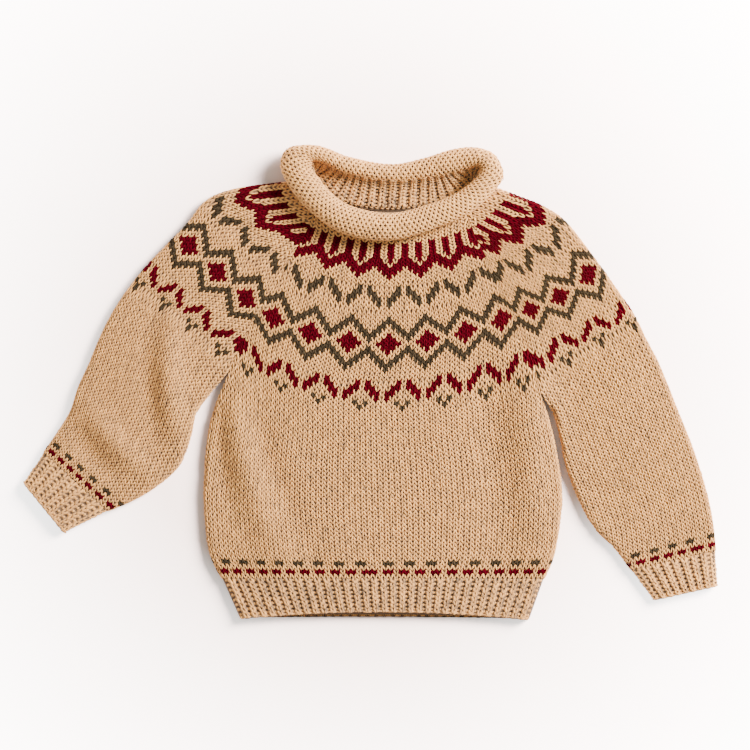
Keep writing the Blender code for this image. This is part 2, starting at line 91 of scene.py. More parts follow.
FRONT_COURSES = (
    yoke_course(144.2, 142.5, 129.7, 0.0),
    yoke_course(123.7, 122.7, 107.4, 0.0),
    yoke_course(95.9, 93.3, 72.3, 0.1),
    yoke_course(59.5, 55.0, 30.4, 0.25),
    yoke_course(27.8, 17.5, -9.0, 0.5),
    yoke_course(7.3, -9.8, -28.7, 0.5),
    Course(-133.1, -22.8, 154.0, -34.0, -51.8, 1, 0.6),
    Course(-139.2, -52.0, 160.2, -60.7, -74.0, 1, 0.8),
    Course(-142.1, -95.5, 165.1, -101.5, -109.1, 1, 1.0),
    Course(-138.1, -143.3, 159.3, -145.0, -147.7, 1, 1.0),
    Course(-127.5, -168.2, 150.7, -168.2, -168.2, 1, 0.0),
)

# Soft creases of the upper layer: each is a curve through three places, which stands
# up or sinks in by its height, and fades away to both sides over its reach
Fold = namedtuple("Fold", "start middle end height reach")
FOLDS = (
    Fold((-112, -8), (-108, -62), (-80, -152), 7.0, 13.0),
    Fold((-91, -22), (-86, -66), (-40, -160), -2.4, 11.0),
    Fold((-127, -14), (-127, -60), (-118, -120), -2.2, 8.0),
    Fold((136, 14), (139, -52), (143, -150), 8.6, 19.0),
    Fold((100, 10), (103, -46), (112, -146), -2.4, 17.0),
    Fold((-168, 50), (-171, -4), (-163, -52), 6.8, 12.0),
    Fold((-186, 48), (-189, -4), (-180, -50), -2.2, 10.0),
    Fold((-240, -24), (-220, -50), (-192, -78), 4.8, 11.0),
    Fold((-254, -40), (-236, -64), (-216, -84), -2.0, 9.0),
    Fold((190, 40), (222, -40), (250, -110), 1.6, 34.0),
)
FOLD_SAMPLES = 12
FOLD_END = 0.06
FOLD_BLUNTNESS = 0.6


def along(rows, column, v):
    """A table column worked out smoothly at v: 0 is the first row, 1 the next."""
    values = np.array([getattr(row, column) for row in rows], float)
    last = len(values) - 1
    index = np.clip(np.floor(v).astype(int), 0, last - 1)
    t = v - index
    b, c = values[index], values[index + 1]
    if column == "bend" or last == 1:
        return b + (c - b) * t
    a, d = values[np.maximum(index - 1, 0)], values[np.minimum(index + 2, last)]
    return 0.5 * (2 * b + (c - a) * t + (2 * a - 5 * b + 4 * c - d) * t * t
                  + (3 * b - a - 3 * c + d) * t ** 3)


def fold_line(fold):
    """Points along a fold's curve, which passes through its middle point."""
    start, middle, end = (np.array(p, float) for p in fold[:3])
    pull = middle * 2 - (start + end) / 2
    t = np.linspace(0.0, 1.0, FOLD_SAMPLES + 1)[:, None]
    return start * (1 - t) ** 2 + pull * 2 * t * (1 - t) + end * t * t


FOLD_LINES = [(fold, fold_line(fold)) for fold in FOLDS]


def fold_height(x, y):
    """How far the upper layer stands above its flat level at each place."""
    here = np.stack([x, y], -1)
    height = np.zeros(x.shape)
    for fold, line in FOLD_LINES:
        nearest = np.full(x.shape, np.inf)
        place = np.zeros(x.shape)
        for step in range(FOLD_SAMPLES):
            run = line[step + 1] - line[step]
            part = np.clip(((here - line[step]) @ run) / (run @ run), 0.0, 1.0)
            gap = np.linalg.norm(here - line[step] - part[..., None] * run, axis=-1)
            closer = gap < nearest
            nearest = np.where(closer, gap, nearest)
            place = np.where(closer, (step + part) / FOLD_SAMPLES, place)
        fade = np.sin(np.pi * np.clip(place, FOLD_END, 1 - FOLD_END)) ** FOLD_BLUNTNESS
        height += fold.height * fade * np.exp(-(nearest / fold.reach) ** 2)
    return height


def bent_edge(distance, bend):
    """A strip bent down at its edge, at distances along the strip from its end."""
    angle = SIDE_BEND * bend
    turned = FOLD_RADIUS * angle
    reach = (FOLD_RADIUS + WALL / 2) * np.sin(angle)
    left = np.maximum(angle - distance / FOLD_RADIUS, 0.0)
    flat = np.maximum(distance - turned, 0.0)
    return (reach - FOLD_RADIUS * np.sin(left) + flat, FOLD_RADIUS * (1 - np.cos(left)),
            np.sin(left), np.cos(left))


def strip_saving(bend):
    """How much shorter a strip is in plan, at one edge, than its cloth."""
    return (FOLD_RADIUS + WALL / 2) * np.sin(SIDE_BEND * bend) - FOLD_RADIUS * SIDE_BEND * bend


def panel_place(rows, v, share, upper, out=0.0):
    """Points and outward normals of a body panel.

    v is the place down the table, share the place across from -0.5 to 0.5, and out
    the height above the panel's outer face.
    """
    v, share = np.broadcast_arrays(v, share)
    bend = along(rows, "bend", v)
    start = np.stack([along(rows, "left_x", v), along(rows, "left_y", v)], -1)
    end = np.stack([along(rows, "right_x", v), along(rows, "right_y", v)], -1)
    straight = bend == 0
    start[..., 0] = np.where(straight, raglan_x(start[..., 1], "right_x"), start[..., 0])
    end[..., 0] = np.where(straight, raglan_x(end[..., 1], "left_x"), end[..., 0])
    start[..., 0] += SEAM_GAP / 2
    end[..., 0] -= SEAM_GAP / 2
    width = np.linalg.norm(end - start, axis=-1)
    length = width - 2 * strip_saving(bend)
    distance = (0.5 - np.abs(share)) * length
    offset, drop, side, up = bent_edge(distance, bend)
    part = np.where(share < 0, offset, width - offset) / width
    plan = start + (end - start) * part[..., None]
    sag = along(rows, "middle_y", v) - (start[..., 1] + end[..., 1]) / 2
    skew = 1 + along(rows, "skew", v) * (0.5 - part)
    plan[..., 1] += sag * 4 * part * (1 - part) * skew
    sideways = np.where(share < 0, -side, side)
    level = BACK_LEVEL + drop
    if upper:
        level = FRONT_LEVEL - drop + fold_height(plan[..., 0], plan[..., 1]) * up
    normal = np.stack([sideways, np.zeros_like(up), up if upper else -up], -1)
    middle = np.concatenate([plan, level[..., None]], -1)
    return middle + normal * (WALL / 2 + np.asarray(out)[..., None]), normal


# Bands from the neck down: their rows, and the height of their lower edge in the
# middle of the front
Band = namedtuple("Band", "name rows bottom")
BANDS = (
    Band("under_collar", 4, 117.4),
    Band("columns", 5, 104.1),
    Band("points", 5, 87.1),
    Band("plain", 2, 81.2),
    Band("chevrons", 4, 63.4),
    Band("plain", 2, 55.5),
    Band("lattice", 13, 8.0),
    Band("plain", 2, 0.6),
    Band("low_chevrons", 4, -16.8),
    Band("vees", 2, -24.6),
    Band("body", 40, -168.2),
)
BAND_STARTS = np.concatenate([[0], np.cumsum([band.rows for band in BANDS])])
BODY_ROWS = int(BAND_STARTS[-1])
BAND_START = {band.name: int(at) for band, at in zip(BANDS, BAND_STARTS)}

# The stitch counts change between bands, at a row of decreases: each set of
# columns starts at a row, and has a stitch width that changes with the height
Columns = namedtuple("Columns", "first_row widths")
COLUMNS = (
    Columns(0, ((117.7, 5.78), (112.6, 5.91), (104.4, 6.16))),
    Columns(9, ((104.0, 4.19), (86.9, 4.62))),
    Columns(15, ((81.7, 4.07), (68.9, 4.31), (62.0, 4.41))),
    Columns(21, ((57.8, 3.85), (55.2, 3.90), (31.7, 4.28), (8.1, 4.32), (-16.7, 4.35),
                 (-51.8, 4.37), (-74.0, 4.54), (-109.1, 4.66), (-147.7, 4.50),
                 (-168.2, 4.22))),
)


def row_height(row):
    """The height of a row's upper edge in the middle of the front."""
    return np.interp(row, BAND_STARTS, [FRONT_COURSES[0].middle_y] + [b.bottom for b in BANDS])


PLACE_SAMPLES = 801
FINE_V = np.linspace(0.0, len(FRONT_COURSES) - 1.0, PLACE_SAMPLES)


def row_place(row):
    """The place down the table of courses at which a row's upper edge lies."""
    heights = along(FRONT_COURSES, "middle_y", FINE_V)
    return np.interp(-row_height(row), -heights, FINE_V)


def stitch_width(columns, row):
    """Width of a stitch of a set of columns at the upper edge of a row."""
    heights, widths = zip(*columns.widths[::-1])
    return np.interp(row_height(row), heights, widths)


LINE_SAMPLES = 301
# A stitch cut by a seam is left out when less than this share of it is left
NARROWEST = 0.4

Cells = namedtuple("Cells", "corners normals row column")


def run_along(points, spread=1.0):
    """The distance along each line of points, where spread says how wide stitches lie."""
    steps = np.linalg.norm(np.diff(points, axis=-2), axis=-1) / spread
    start = np.zeros(steps.shape[:-1] + (1,))
    return np.concatenate([start, np.cumsum(steps, axis=-1)], axis=-1)


# The panel's middle column by height, and how wide its stitches are across the
# panel, as shares of the middle's: the first row in the yoke, the second in the body
MIDDLE_COLUMN = ((-168.2, 13.7), (-22.7, 9.4), (-12.4, 10.4), (31.6, 16.4), (86.9, 16.7),
                 (117.4, 18.8))
ACROSS = (-150.0, -90.0, -55.0, -15.0, 90.0, 125.0, 165.0)
YOKE_SPREAD = (0.97, 0.98, 1.0, 1.0, 0.97, 0.91, 0.9)
BODY_SPREAD = (0.86, 0.86, 0.98, 1.06, 1.06, 0.96, 0.88)
SPREAD_ROWS = (34, 45)


def panel_run(points, edges):
    """The distance along each row from the middle column, in even stitches."""
    below = np.interp(edges, SPREAD_ROWS, (0.0, 1.0))[:, None]
    x = points[..., 0]
    spread = (np.interp(x, ACROSS, YOKE_SPREAD) * (1 - below)
              + np.interp(x, ACROSS, BODY_SPREAD) * below)
    run = run_along(points, spread[:, 1:])
    heights, middles = zip(*MIDDLE_COLUMN)
    middle = np.interp(row_height(edges), heights, middles)
    return run - np.array([[np.interp(m, line_x, line)] for m, line_x, line
                           in zip(middle, x, run)])


def stitch_cells(place, first, last, columns, run_of):
    """The four corners of every stitch between two rows of a piece.

    place gives points and normals at a row and a share of the way across.
    Columns are laid out along each row by run_of, and cut at the edges.
    """
    edges = np.arange(first, last + 1, dtype=float)
    share = np.linspace(-0.5, 0.5, LINE_SAMPLES)
    arc = run_of(place(edges[:, None], share[None, :])[0], edges)
    width = stitch_width(columns, edges)
    reach = int(np.abs(arc).max() / width.min()) + 2
    column = np.arange(-reach, reach + 1)
    picked = []
    for k in range(len(edges) - 1):
        sides = []
        for line in (k + 1, k):
            low, high = arc[line, 0], arc[line, -1]
            left = (column - 0.5) * width[line]
            right = left + width[line]
            shown = (np.minimum(right, high) - np.maximum(left, low)) / width[line]
            sides.append((line, left, right, shown))
        kept = np.flatnonzero((sides[0][3] + sides[1][3]) / 2 >= NARROWEST)
        shares = []
        for line, left, right, _ in sides:
            left, right = left[kept].copy(), right[kept].copy()
            left[0], right[-1] = arc[line, 0], arc[line, -1]
            ends = np.clip([left, right], arc[line, 0], arc[line, -1])
            shares.append(np.interp(ends, arc[line], share))
        picked.append((edges[k], column[kept], shares))
    row = np.concatenate([np.full(len(c), r) for r, c, _ in picked])
    numbers = np.concatenate([c for _, c, _ in picked])
    across = np.concatenate([np.stack([*s[0], *s[1]], 1) for _, _, s in picked])
    down = np.stack([row + 1, row + 1, row, row], 1)
    corners, normals = place(down, across)
    return Cells(corners, normals, row.astype(int), numbers)


def pick(cells, mask):
    return Cells(*(part[mask] for part in cells))


# A piece of yarn: rings of points along it, as shares of a stitch's width and
# height, with a height in millimetres, its texture coordinates and its faces
Strand = namedtuple("Strand", "u h z texture faces")
STITCH = (4.3, 3.64)
# How far round the tube a strand goes to each side of its top
STRAND_TURN = math.radians(80.0)


def strand(line, radius, rise, rings, sides):
    """The upper half of a bent tube.

    line, radius and rise are functions of the place t along the yarn: its middle,
    its half width in stitch widths and the height of its top. rise also has its
    own depth, from the top to the tube's lower edges.
    """
    t = np.linspace(0.0, 1.0, rings)
    u, h = line(t)
    step = 1e-3
    du, dh = (a - b for a, b in zip(line(t + step), line(t - step)))
    run = np.hypot(du * STITCH[0], dh * STITCH[1])
    side_u, side_h = dh * STITCH[1] / run, -du * STITCH[0] / run
    half = radius(t) * STITCH[0]
    top, depth = rise(t)
    turn = np.linspace(-STRAND_TURN, STRAND_TURN, sides)
    reach = np.sin(turn) / math.sin(STRAND_TURN)
    grid_u = u[:, None] + half[:, None] * reach * side_u[:, None] / STITCH[0]
    grid_h = h[:, None] + half[:, None] * reach * side_h[:, None] / STITCH[1]
    grid_z = top[:, None] - depth[:, None] * (1 - np.cos(turn)) / (1 - math.cos(turn[-1]))
    texture = np.stack(np.broadcast_arrays(
        np.linspace(0.0, 1.0, sides)[None, :], t[:, None]), -1)
    faces = []
    for r in range(rings - 1):
        for c in range(sides - 1):
            a = r * sides + c
            faces.append((a, a + 1, a + sides + 1, a + sides))
    return Strand(grid_u.ravel(), grid_h.ravel(), grid_z.ravel(),
                  texture.reshape(-1, 2), np.array(faces))


def dive(t, start, end):
    """0 in the middle of a yarn, rising to 1 at its two ends."""
    return (np.clip(1 - t / start, 0, 1) ** 2 + np.clip(1 - (1 - t) / end, 0, 1) ** 2)


# A leg starts beside the stitch's middle, splays out over a part of its length, and
# is thinner, lower and flatter at its two ends
LEG_START, LEG_FOOT, LEG_LENGTH = 0.05, -0.4, 1.42
SPLAY_START, SPLAY_RUN = 0.05, 0.6
LEG_THINNING, LEG_DIVE, LEG_FLATTENING = 0.03, 0.9, 0.2


def leg(rings, sides, top=0.3, depth=1.25, splay=0.38, half=0.185):
    """The right leg of a knit stitch, from inside the stitch below upward."""
    def line(t):
        part = np.clip((t - SPLAY_START) / SPLAY_RUN, 0, 1)
        return (LEG_START + (splay - LEG_START) * part * part * (3 - 2 * part),
                LEG_FOOT + LEG_LENGTH * t)

    def radius(t):
        return half - LEG_THINNING * dive(t, 0.4, 0.3)

    def rise(t):
        return (top - LEG_DIVE * dive(t, 0.16, 0.26),
                depth - LEG_FLATTENING * dive(t, 0.3, 0.3))
    return strand(line, radius, rise, rings, sides)


LEG = leg(5, 4)
COLOR_LEG = leg(5, 4, top=0.4, depth=1.1, half=0.235)
LEG_UNDER = leg(4, 3, top=0.0, depth=0.9)


# Painted shade: yarn is drawn darker low in the cloth, where its fibres shade each other
YARN_TONE = 0.66
TONE_SPREAD = 0.08
SHADE_DEPTH = 1.5
PAINTED_DEPTH_SHADE = 0.56
# Stitches vary in size, and wander further up and down than sideways
SIZE_SPREAD = 0.05
WANDER_UP = 1.3
TEXTURE_LENGTH = 7


def lay(cells, piece, mirrored=False, wander=0.02, rise=0.08, lift=0.0, shade=0.0):
    """Vertices, faces, texture coordinates and tones of one yarn piece in each cell.

    The tones carry painted shade: darker low in the cloth, and darker over the whole piece by
    shade.
    """
    count = len(cells.row)
    left = cells.corners[:, 1] - cells.corners[:, 0]
    up = cells.corners[:, 2] - cells.corners[:, 0]
    facing = np.einsum("nx,nx->n", np.cross(left, up), cells.normals[:, 0]).mean()
    side = -1.0 if mirrored else 1.0
    shift = random.normal(0.0, wander, (count, 2))
    size = random.normal(1.0, SIZE_SPREAD, (count, 1))
    u = 0.5 + side * piece.u * size + shift[:, :1]
    h = piece.h + shift[:, 1:] * WANDER_UP
    z = piece.z + random.normal(0.0, rise, (count, 1)) + lift
    weights = np.stack([(1 - u) * (1 - h), u * (1 - h), (1 - u) * h, u * h], -1)
    points = np.einsum("nkc,ncx->nkx", weights, cells.corners)
    points += np.einsum("nkc,ncx->nkx", weights, cells.normals) * z[..., None]
    faces = piece.faces[:, ::-1] if side * facing < 0 else piece.faces
    faces = faces[None] + (np.arange(count) * len(piece.u))[:, None, None]
    texture = np.broadcast_to(piece.texture, (count,) + piece.texture.shape).copy()
    texture[..., 1] += random.random((count, 1)) * TEXTURE_LENGTH
    # Painted shade: the tone is darkened where the yarn lies low in the cloth, and by shade over
    # the whole piece; the rest is tone that differs at random
    depth = np.clip((piece.z.max() - piece.z) / SHADE_DEPTH, 0, 1)
    tone_and_painted_shade = random.normal(YARN_TONE - shade, TONE_SPREAD, (count, 1)) - PAINTED_DEPTH_SHADE * depth
    return (points.reshape(-1, 3), faces.reshape(-1, 4), texture.reshape(-1, 2),
            np.clip(tone_and_painted_shade, 0, 1).ravel())


def yarn_object(name, laid, material):
    """One joined mesh of many pieces of yarn, riding on the sweater's body."""
    starts = np.cumsum([0] + [len(part[0]) for part in laid])
    points = np.concatenate([part[0] for part in laid])
    faces = np.concatenate([part[1] + start for part, start in zip(laid, starts)])
    texture = np.concatenate([part[2] for part in laid])
    tone_and_painted_shade = np.concatenate([part[3] for part in laid])
    obj = grid_object(name, points, faces, material)
    layer = obj.data.uv_layers.new(name="yarn")
    layer.data.foreach_set("uv", texture[faces.ravel()].ravel())
    # The tones, with their painted shade, go to the yarn's material as an attribute
    attribute = obj.data.attributes.new("tone_and_painted_shade", "FLOAT", "POINT")
    attribute.data.foreach_set("value", tone_and_painted_shade)
    return obj


def grid_object(name, points, faces, material):
    """A smooth mesh of four-sided faces."""
    mesh = bpy.data.meshes.new(name)
    mesh.vertices.add(len(points))
    mesh.vertices.foreach_set("co", ((points - BOX_MIDDLE) * MM).ravel())
    mesh.loops.add(faces.size)
    mesh.loops.foreach_set("vertex_index", faces.ravel())
    mesh.polygons.add(len(faces))
    mesh.polygons.foreach_set("loop_start", np.arange(0, faces.size, 4))
    mesh.update(calc_edges=True)
    mesh.shade_smooth()
    mesh.materials.append(material)
    obj = bpy.data.objects.new(name, mesh)
    bpy.context.collection.objects.link(obj)
    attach(obj, "root")
    return obj


def wall_object(name, outer, inner, material, ring=False):
    """A closed thin wall between two grids of points, its texture on the outside."""
    rows, columns = outer.shape[:2]
    number = np.arange(rows * columns).reshape(rows, columns)
    if ring:
        number = np.concatenate([number, number[:, :1]], axis=1)
    a, b = number[:-1, :-1], number[:-1, 1:]
    c, d = number[1:, 1:], number[1:, :-1]
    under = rows * columns
    quads = [np.stack([a, d, c, b], -1).reshape(-1, 4),
             np.stack([a, b, c, d], -1).reshape(-1, 4) + under]
    rims = [(number[0], 1), (number[-1], -1)]
    if not ring:
        rims += [(number[:, 0], -1), (number[:, -1], 1)]
    for rim, way in rims:
        p, q = rim[:-1], rim[1:]
        quad = np.stack([p, q, q + under, p + under], -1)
        quads.append(quad[:, ::way])
    points = np.concatenate([outer.reshape(-1, 3), inner.reshape(-1, 3)])
    faces = np.concatenate(quads)
    volume = np.einsum("nx,nx->n", points[faces[:, 0]],
                       np.cross(points[faces[:, 1]], points[faces[:, 2]])
                       + np.cross(points[faces[:, 2]], points[faces[:, 3]])).sum()
    if volume < 0:
        faces = faces[:, ::-1]
    obj = grid_object(name, points, faces, material)
    lay_flat = np.stack(np.meshgrid(np.linspace(0, 1, columns), np.linspace(1, 0, rows)), -1)
    layer = obj.data.uv_layers.new(name="cloth")
    texture = np.concatenate([lay_flat.reshape(-1, 2)] * 2)
    layer.data.foreach_set("uv", texture[faces.ravel()].ravel())
    return obj


def add_node(tree, kind, **values):
    """A node with its settings; keys that name an input set that input."""
    node = tree.nodes.new(kind)
    for key, value in values.items():
        if hasattr(node, key):
            setattr(node, key, value)
        else:
            node.inputs[key.replace("_", " ")].default_value = value
    return node


def mixed(tree, parts, bias):
    """bias plus each output times its weight."""
    total = None
    for output, weight in parts:
        term = add_node(tree, "ShaderNodeMath", operation="MULTIPLY_ADD")
        tree.links.new(output, term.inputs[0])
        term.inputs[1].default_value = weight
        if total is None:
            term.inputs[2].default_value = bias
        else:
            tree.links.new(total, term.inputs[2])
        total = term.outputs[0]
    return total


def output_group(name):
    """A shader node group that gives a shade and a height."""
    group = bpy.data.node_groups.new(name, "ShaderNodeTree")
    for socket in ("Shade", "Height"):
        group.interface.new_socket(socket, in_out="OUTPUT", socket_type="NodeSocketFloat")
    return group, group.nodes.new("NodeGroupOutput")


SHADE_BIAS = -0.54


def yarn_group():
    """Two-ply twist along the yarn, loose fibre, and flecks of the wool's colours, over the
    yarn's tones, which carry painted shade low in the cloth.
    """
    group, out = output_group("wool_yarn")
    place = add_node(group, "ShaderNodeUVMap", uv_map="yarn")
    twist = add_node(group, "ShaderNodeTexWave", bands_direction="DIAGONAL", Scale=1.1,
                     Distortion=0.8, Detail=1.0)
    group.links.new(place.outputs[0], twist.inputs["Vector"])
    spot = add_node(group, "ShaderNodeTexCoord")
    fibre = add_node(group, "ShaderNodeTexNoise", Scale=1500.0, Detail=4.0, Roughness=0.7)
    fleck = add_node(group, "ShaderNodeTexNoise", Scale=420.0, Detail=2.0)
    cloud = add_node(group, "ShaderNodeTexNoise", Scale=16.0, Detail=2.0)
    for noise in (fibre, fleck, cloud):
        group.links.new(spot.outputs["Object"], noise.inputs["Vector"])
    tone_and_painted_shade = add_node(group, "ShaderNodeAttribute", attribute_name="tone_and_painted_shade")
    shade = mixed(group, [(tone_and_painted_shade.outputs["Fac"], 1.0), (fleck.outputs[0], 0.3),
                          (fibre.outputs[0], 0.5), (twist.outputs["Fac"], 0.2),
                          (cloud.outputs[0], 0.1)], SHADE_BIAS)
    height = mixed(group, [(twist.outputs["Fac"], 0.8), (fibre.outputs[0], 1.5)], 0.0)
    group.links.new(shade, out.inputs["Shade"])
    group.links.new(height, out.inputs["Height"])
    return group


def cloth_group():
    """Rows of loops, seen in the gaps between the stitches and on the inside, where the cloth's
    dark colours are painted shade.
    """
    group, out = output_group("knit_inside")
    spot = add_node(group, "ShaderNodeTexCoord")
    loops = add_node(group, "ShaderNodeTexWave", bands_direction="Y", Scale=88.0,
                     Distortion=2.5, Detail=1.0, Detail_Scale=3.0)
    fibre = add_node(group, "ShaderNodeTexNoise", Scale=1500.0, Detail=4.0)
    for texture in (loops, fibre):
        group.links.new(spot.outputs["Object"], texture.inputs["Vector"])
    shade = mixed(group, [(loops.outputs["Fac"], 0.5), (fibre.outputs[0], 0.5)], 0.0)
    group.links.new(shade, out.inputs["Shade"])
    group.links.new(shade, out.inputs["Height"])
    return group


YARN_LOOK = yarn_group()
CLOTH_LOOK = cloth_group()
WOOL_ROUGHNESS = 0.88
SHEEN_ROUGHNESS = 0.6
# Where the two middle colours lie between the deepest and the proudest yarn
LOW_STOP, MIDDLE_STOP = 0.28, 0.5
RELIEF_STRENGTH, RELIEF_HEIGHT = 0.8, 0.0004


def wool(name, look, dark, low, middle, light, sheen=0.07, specular=0.12):
    """Matt wool: the four colours are those that it ranges over, from deep to proud; the deep and
    low ones are mostly painted shade of yarn low in the cloth.
    """
    material = bpy.data.materials.new(name)
    material.use_nodes = True
    tree = material.node_tree
    surface = tree.nodes["Principled BSDF"]
    effect = add_node(tree, "ShaderNodeGroup", node_tree=look)
    ramp = add_node(tree, "ShaderNodeValToRGB")
    stops = ramp.color_ramp.elements
    stops[0].color, stops[1].color = (*dark, 1), (*light, 1)
    stops.new(LOW_STOP).color = (*low, 1)
    stops.new(MIDDLE_STOP).color = (*middle, 1)
    relief = add_node(tree, "ShaderNodeBump", Strength=RELIEF_STRENGTH,
                      Distance=RELIEF_HEIGHT)
    tree.links.new(effect.outputs["Shade"], ramp.inputs["Fac"])
    tree.links.new(ramp.outputs["Color"], surface.inputs["Base Color"])
    tree.links.new(effect.outputs["Height"], relief.inputs["Height"])
    tree.links.new(relief.outputs["Normal"], surface.inputs["Normal"])
    surface.inputs["Roughness"].default_value = WOOL_ROUGHNESS
    surface.inputs["Sheen Weight"].default_value = sheen
    surface.inputs["Sheen Roughness"].default_value = SHEEN_ROUGHNESS
    surface.inputs["Specular IOR Level"].default_value = specular
    return material


OATMEAL = wool("oatmeal_yarn", YARN_LOOK, (0.035, 0.022, 0.013), (0.20, 0.118, 0.064),
               (0.57, 0.262, 0.076), (1.0, 0.50, 0.145))
BURGUNDY = wool("burgundy_yarn", YARN_LOOK, (0.008, 0.0003, 0.0007), (0.028, 0.0006, 0.0018),
                (0.047, 0.0008, 0.003), (0.105, 0.0023, 0.008), sheen=0.0, specular=0.02)
OLIVE = wool("olive_yarn", YARN_LOOK, (0.006, 0.004, 0.0025), (0.018, 0.0122, 0.007),
             (0.030, 0.0200, 0.011), (0.068, 0.047, 0.027), sheen=0.0, specular=0.02)
# Painted shade: the cloth seen between the stitches and on the inside is the oatmeal yarn drawn
# far darker
PAINTED_SHADE_CLOTH = wool("oatmeal_cloth_painted_shade", CLOTH_LOOK, (0.035, 0.019, 0.010), (0.075, 0.042, 0.022),
             (0.11, 0.062, 0.032), (0.20, 0.115, 0.060))
YARNS = (("oatmeal", OATMEAL, "oatmeal_knit"), ("burgundy", BURGUNDY, "burgundy_yarn"),
         ("olive", OLIVE, "olive_yarn"))
PLAIN, BURGUNDY_STITCH, OLIVE_STITCH = 0, 1, 2


def from_peak(column, repeat):
    """How many stitches a column is from the nearest repeat's middle."""
    return np.abs((column + repeat // 2) % repeat - repeat // 2)


def dashes(column, repeat, turn):
    """Pairs of stitches in each repeat, which starts again beside the middle."""
    before = (column <= 1 - turn) & ((column + turn) % repeat < 2)
    return np.where(column >= 0, column % repeat < 2, before)


# How many stitches wide the repeats are, and how many rows the lattice's middle lies
# down from its first
POINT_REPEAT = 6
ZIGZAG_REPEAT = 8
LATTICE_MIDDLE = 6
# The dashes' repeat, where it turns beside the middle, and their row above the rib
OLIVE_DASH, OLIVE_DASH_ROW = (4, 5), 4
BURGUNDY_DASH, BURGUNDY_DASH_ROW = (3, 4), 2


def yarn_chart(cells, last_row, diamond=0, point=0, chevron=3, last_point=99):
    """The yarn of each stitch of a piece, from its yoke to the row of its ribbed edge.

    diamond, point and chevron are the columns on which those repeats are centred.
    After last_point the row of points runs on level to the seam.
    """
    row, column = cells.row, cells.column
    yarn = np.zeros(row.shape, int)

    def color(mask, value):
        yarn[mask] = value

    def rows_of(name):
        step = row - BAND_START[name]
        count = next(band.rows for band in BANDS if band.name == name)
        return step, (step >= 0) & (step < count)

    _, here = rows_of("columns")
    color(here & (column % 2 == 0), BURGUNDY_STITCH)
    step, here = rows_of("points")
    gap = np.where(column > last_point, 3, from_peak(column - point, POINT_REPEAT))
    rise = 4 - step
    color(here & (gap <= rise) & (rise <= gap + 2), BURGUNDY_STITCH)
    color(here & (gap == 0) & (rise == 4), BURGUNDY_STITCH)
    step, here = rows_of("chevrons")
    gap = from_peak(column - chevron, ZIGZAG_REPEAT)
    color(here & (gap >= 1) & (gap <= 3) & ((step == gap - 1) | (step == gap)), OLIVE_STITCH)
    step, here = rows_of("lattice")
    step, gap = np.abs(step - LATTICE_MIDDLE), from_peak(column - diamond, ZIGZAG_REPEAT)
    color(here & (gap <= 2 - step), BURGUNDY_STITCH)
    color(here & ((step == 5 - gap) | (step == 6 - gap)) & (step > 0), OLIVE_STITCH)
    step, here = rows_of("low_chevrons")
    valley = 4 - gap
    color(here & (valley >= 1) & (valley <= 3) & ((step == valley - 1) | (step == valley)),
          BURGUNDY_STITCH)
    step, here = rows_of("vees")
    color(here & (step == 1 - valley), OLIVE_STITCH)
    color((row == last_row - OLIVE_DASH_ROW) & dashes(column, *OLIVE_DASH), OLIVE_STITCH)
    color((row == last_row - BURGUNDY_DASH_ROW)
          & (dashes(column, *BURGUNDY_DASH) | (column == -2)), BURGUNDY_STITCH)
    return yarn


# What lies behind a coloured stitch, so that its gaps show its own yarn, drawn darker as painted
# shade
BACKING_LEVEL = -0.55
BACKING_PAINTED_SHADE = 0.35
BACKING = Strand(np.array([-0.5, 0.5, 0.5, -0.5]), np.array([-0.05, -0.05, 1.0, 1.0]),
                 np.full(4, BACKING_LEVEL), np.array([(0, 0), (1, 0), (1, 1), (0, 1)], float),
                 np.array([(0, 1, 2, 3)]))


def knit_objects(name, cells, yarn, piece, color_piece):
    """The stitches of a piece, one mesh for each yarn."""
    made = []
    for value, (color, material, slot) in enumerate(YARNS):
        chosen = pick(cells, yarn == value)
        if not len(chosen.row):
            continue
        leg_piece = piece if value == PLAIN else color_piece
        laid = [lay(chosen, leg_piece), lay(chosen, leg_piece, mirrored=True)]
        if value != PLAIN:
            laid.append(lay(chosen, BACKING, wander=0.0, rise=0.0, shade=BACKING_PAINTED_SHADE))
        made.append(yarn_object(f"{name}_knit_{color}", laid, material))
    return made


# How far a wall's outer face lies under the panel's own, and how many points the
# front's wall has down and across
WALL_TOP = -1.25
FRONT_GRID = (90, 90)


def wall_of(name, place, rows, grid, top=WALL_TOP):
    """The thin wall of the piece of this name, which stands in for its solid."""
    down, across = np.meshgrid(np.linspace(0, rows, grid[0]),
                               np.linspace(-0.5, 0.5, grid[1]), indexing="ij")
    wall = wall_object(name + "_cloth", place(down, across, top)[0],
                       place(down, across, -WALL)[0], PAINTED_SHADE_CLOTH)
    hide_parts(name)
    return wall


def front_place(row, share, out=0.0):
    return panel_place(FRONT_COURSES, row_place(row), share, True, out)


def piece_cells(place, sets, last_row, run_of):
    """Stitches of a piece, set of columns after set of columns."""
    ends = [columns.first_row for columns in sets[1:]] + [last_row]
    parts = [stitch_cells(place, columns.first_row, end, columns, run_of)
             for columns, end in zip(sets, ends)]
    return Cells(*(np.concatenate(group) for group in zip(*parts)))


front_cells = piece_cells(front_place, COLUMNS, BODY_ROWS, panel_run)
front_knit = knit_objects("front", front_cells, yarn_chart(front_cells, BODY_ROWS), LEG,
                          COLOR_LEG)
front_wall = wall_of("front", front_place, BODY_ROWS, FRONT_GRID)


# ---------------------------------------------------------------------------
# Back. The same panel in the same wools with a higher neck, lying face down under the
# front. Its knitting faces the surface, so it has the front's bands, flat as it rests.
# ---------------------------------------------------------------------------
BACK_COURSES = (yoke_course(156.2, 156.2, 144.2, 0.0),) + FRONT_COURSES[1:]
BACK_GRID = (60, 60)


def back_place(row, share, out=0.0):
    return panel_place(BACK_COURSES, row_place(row), share, False, out)


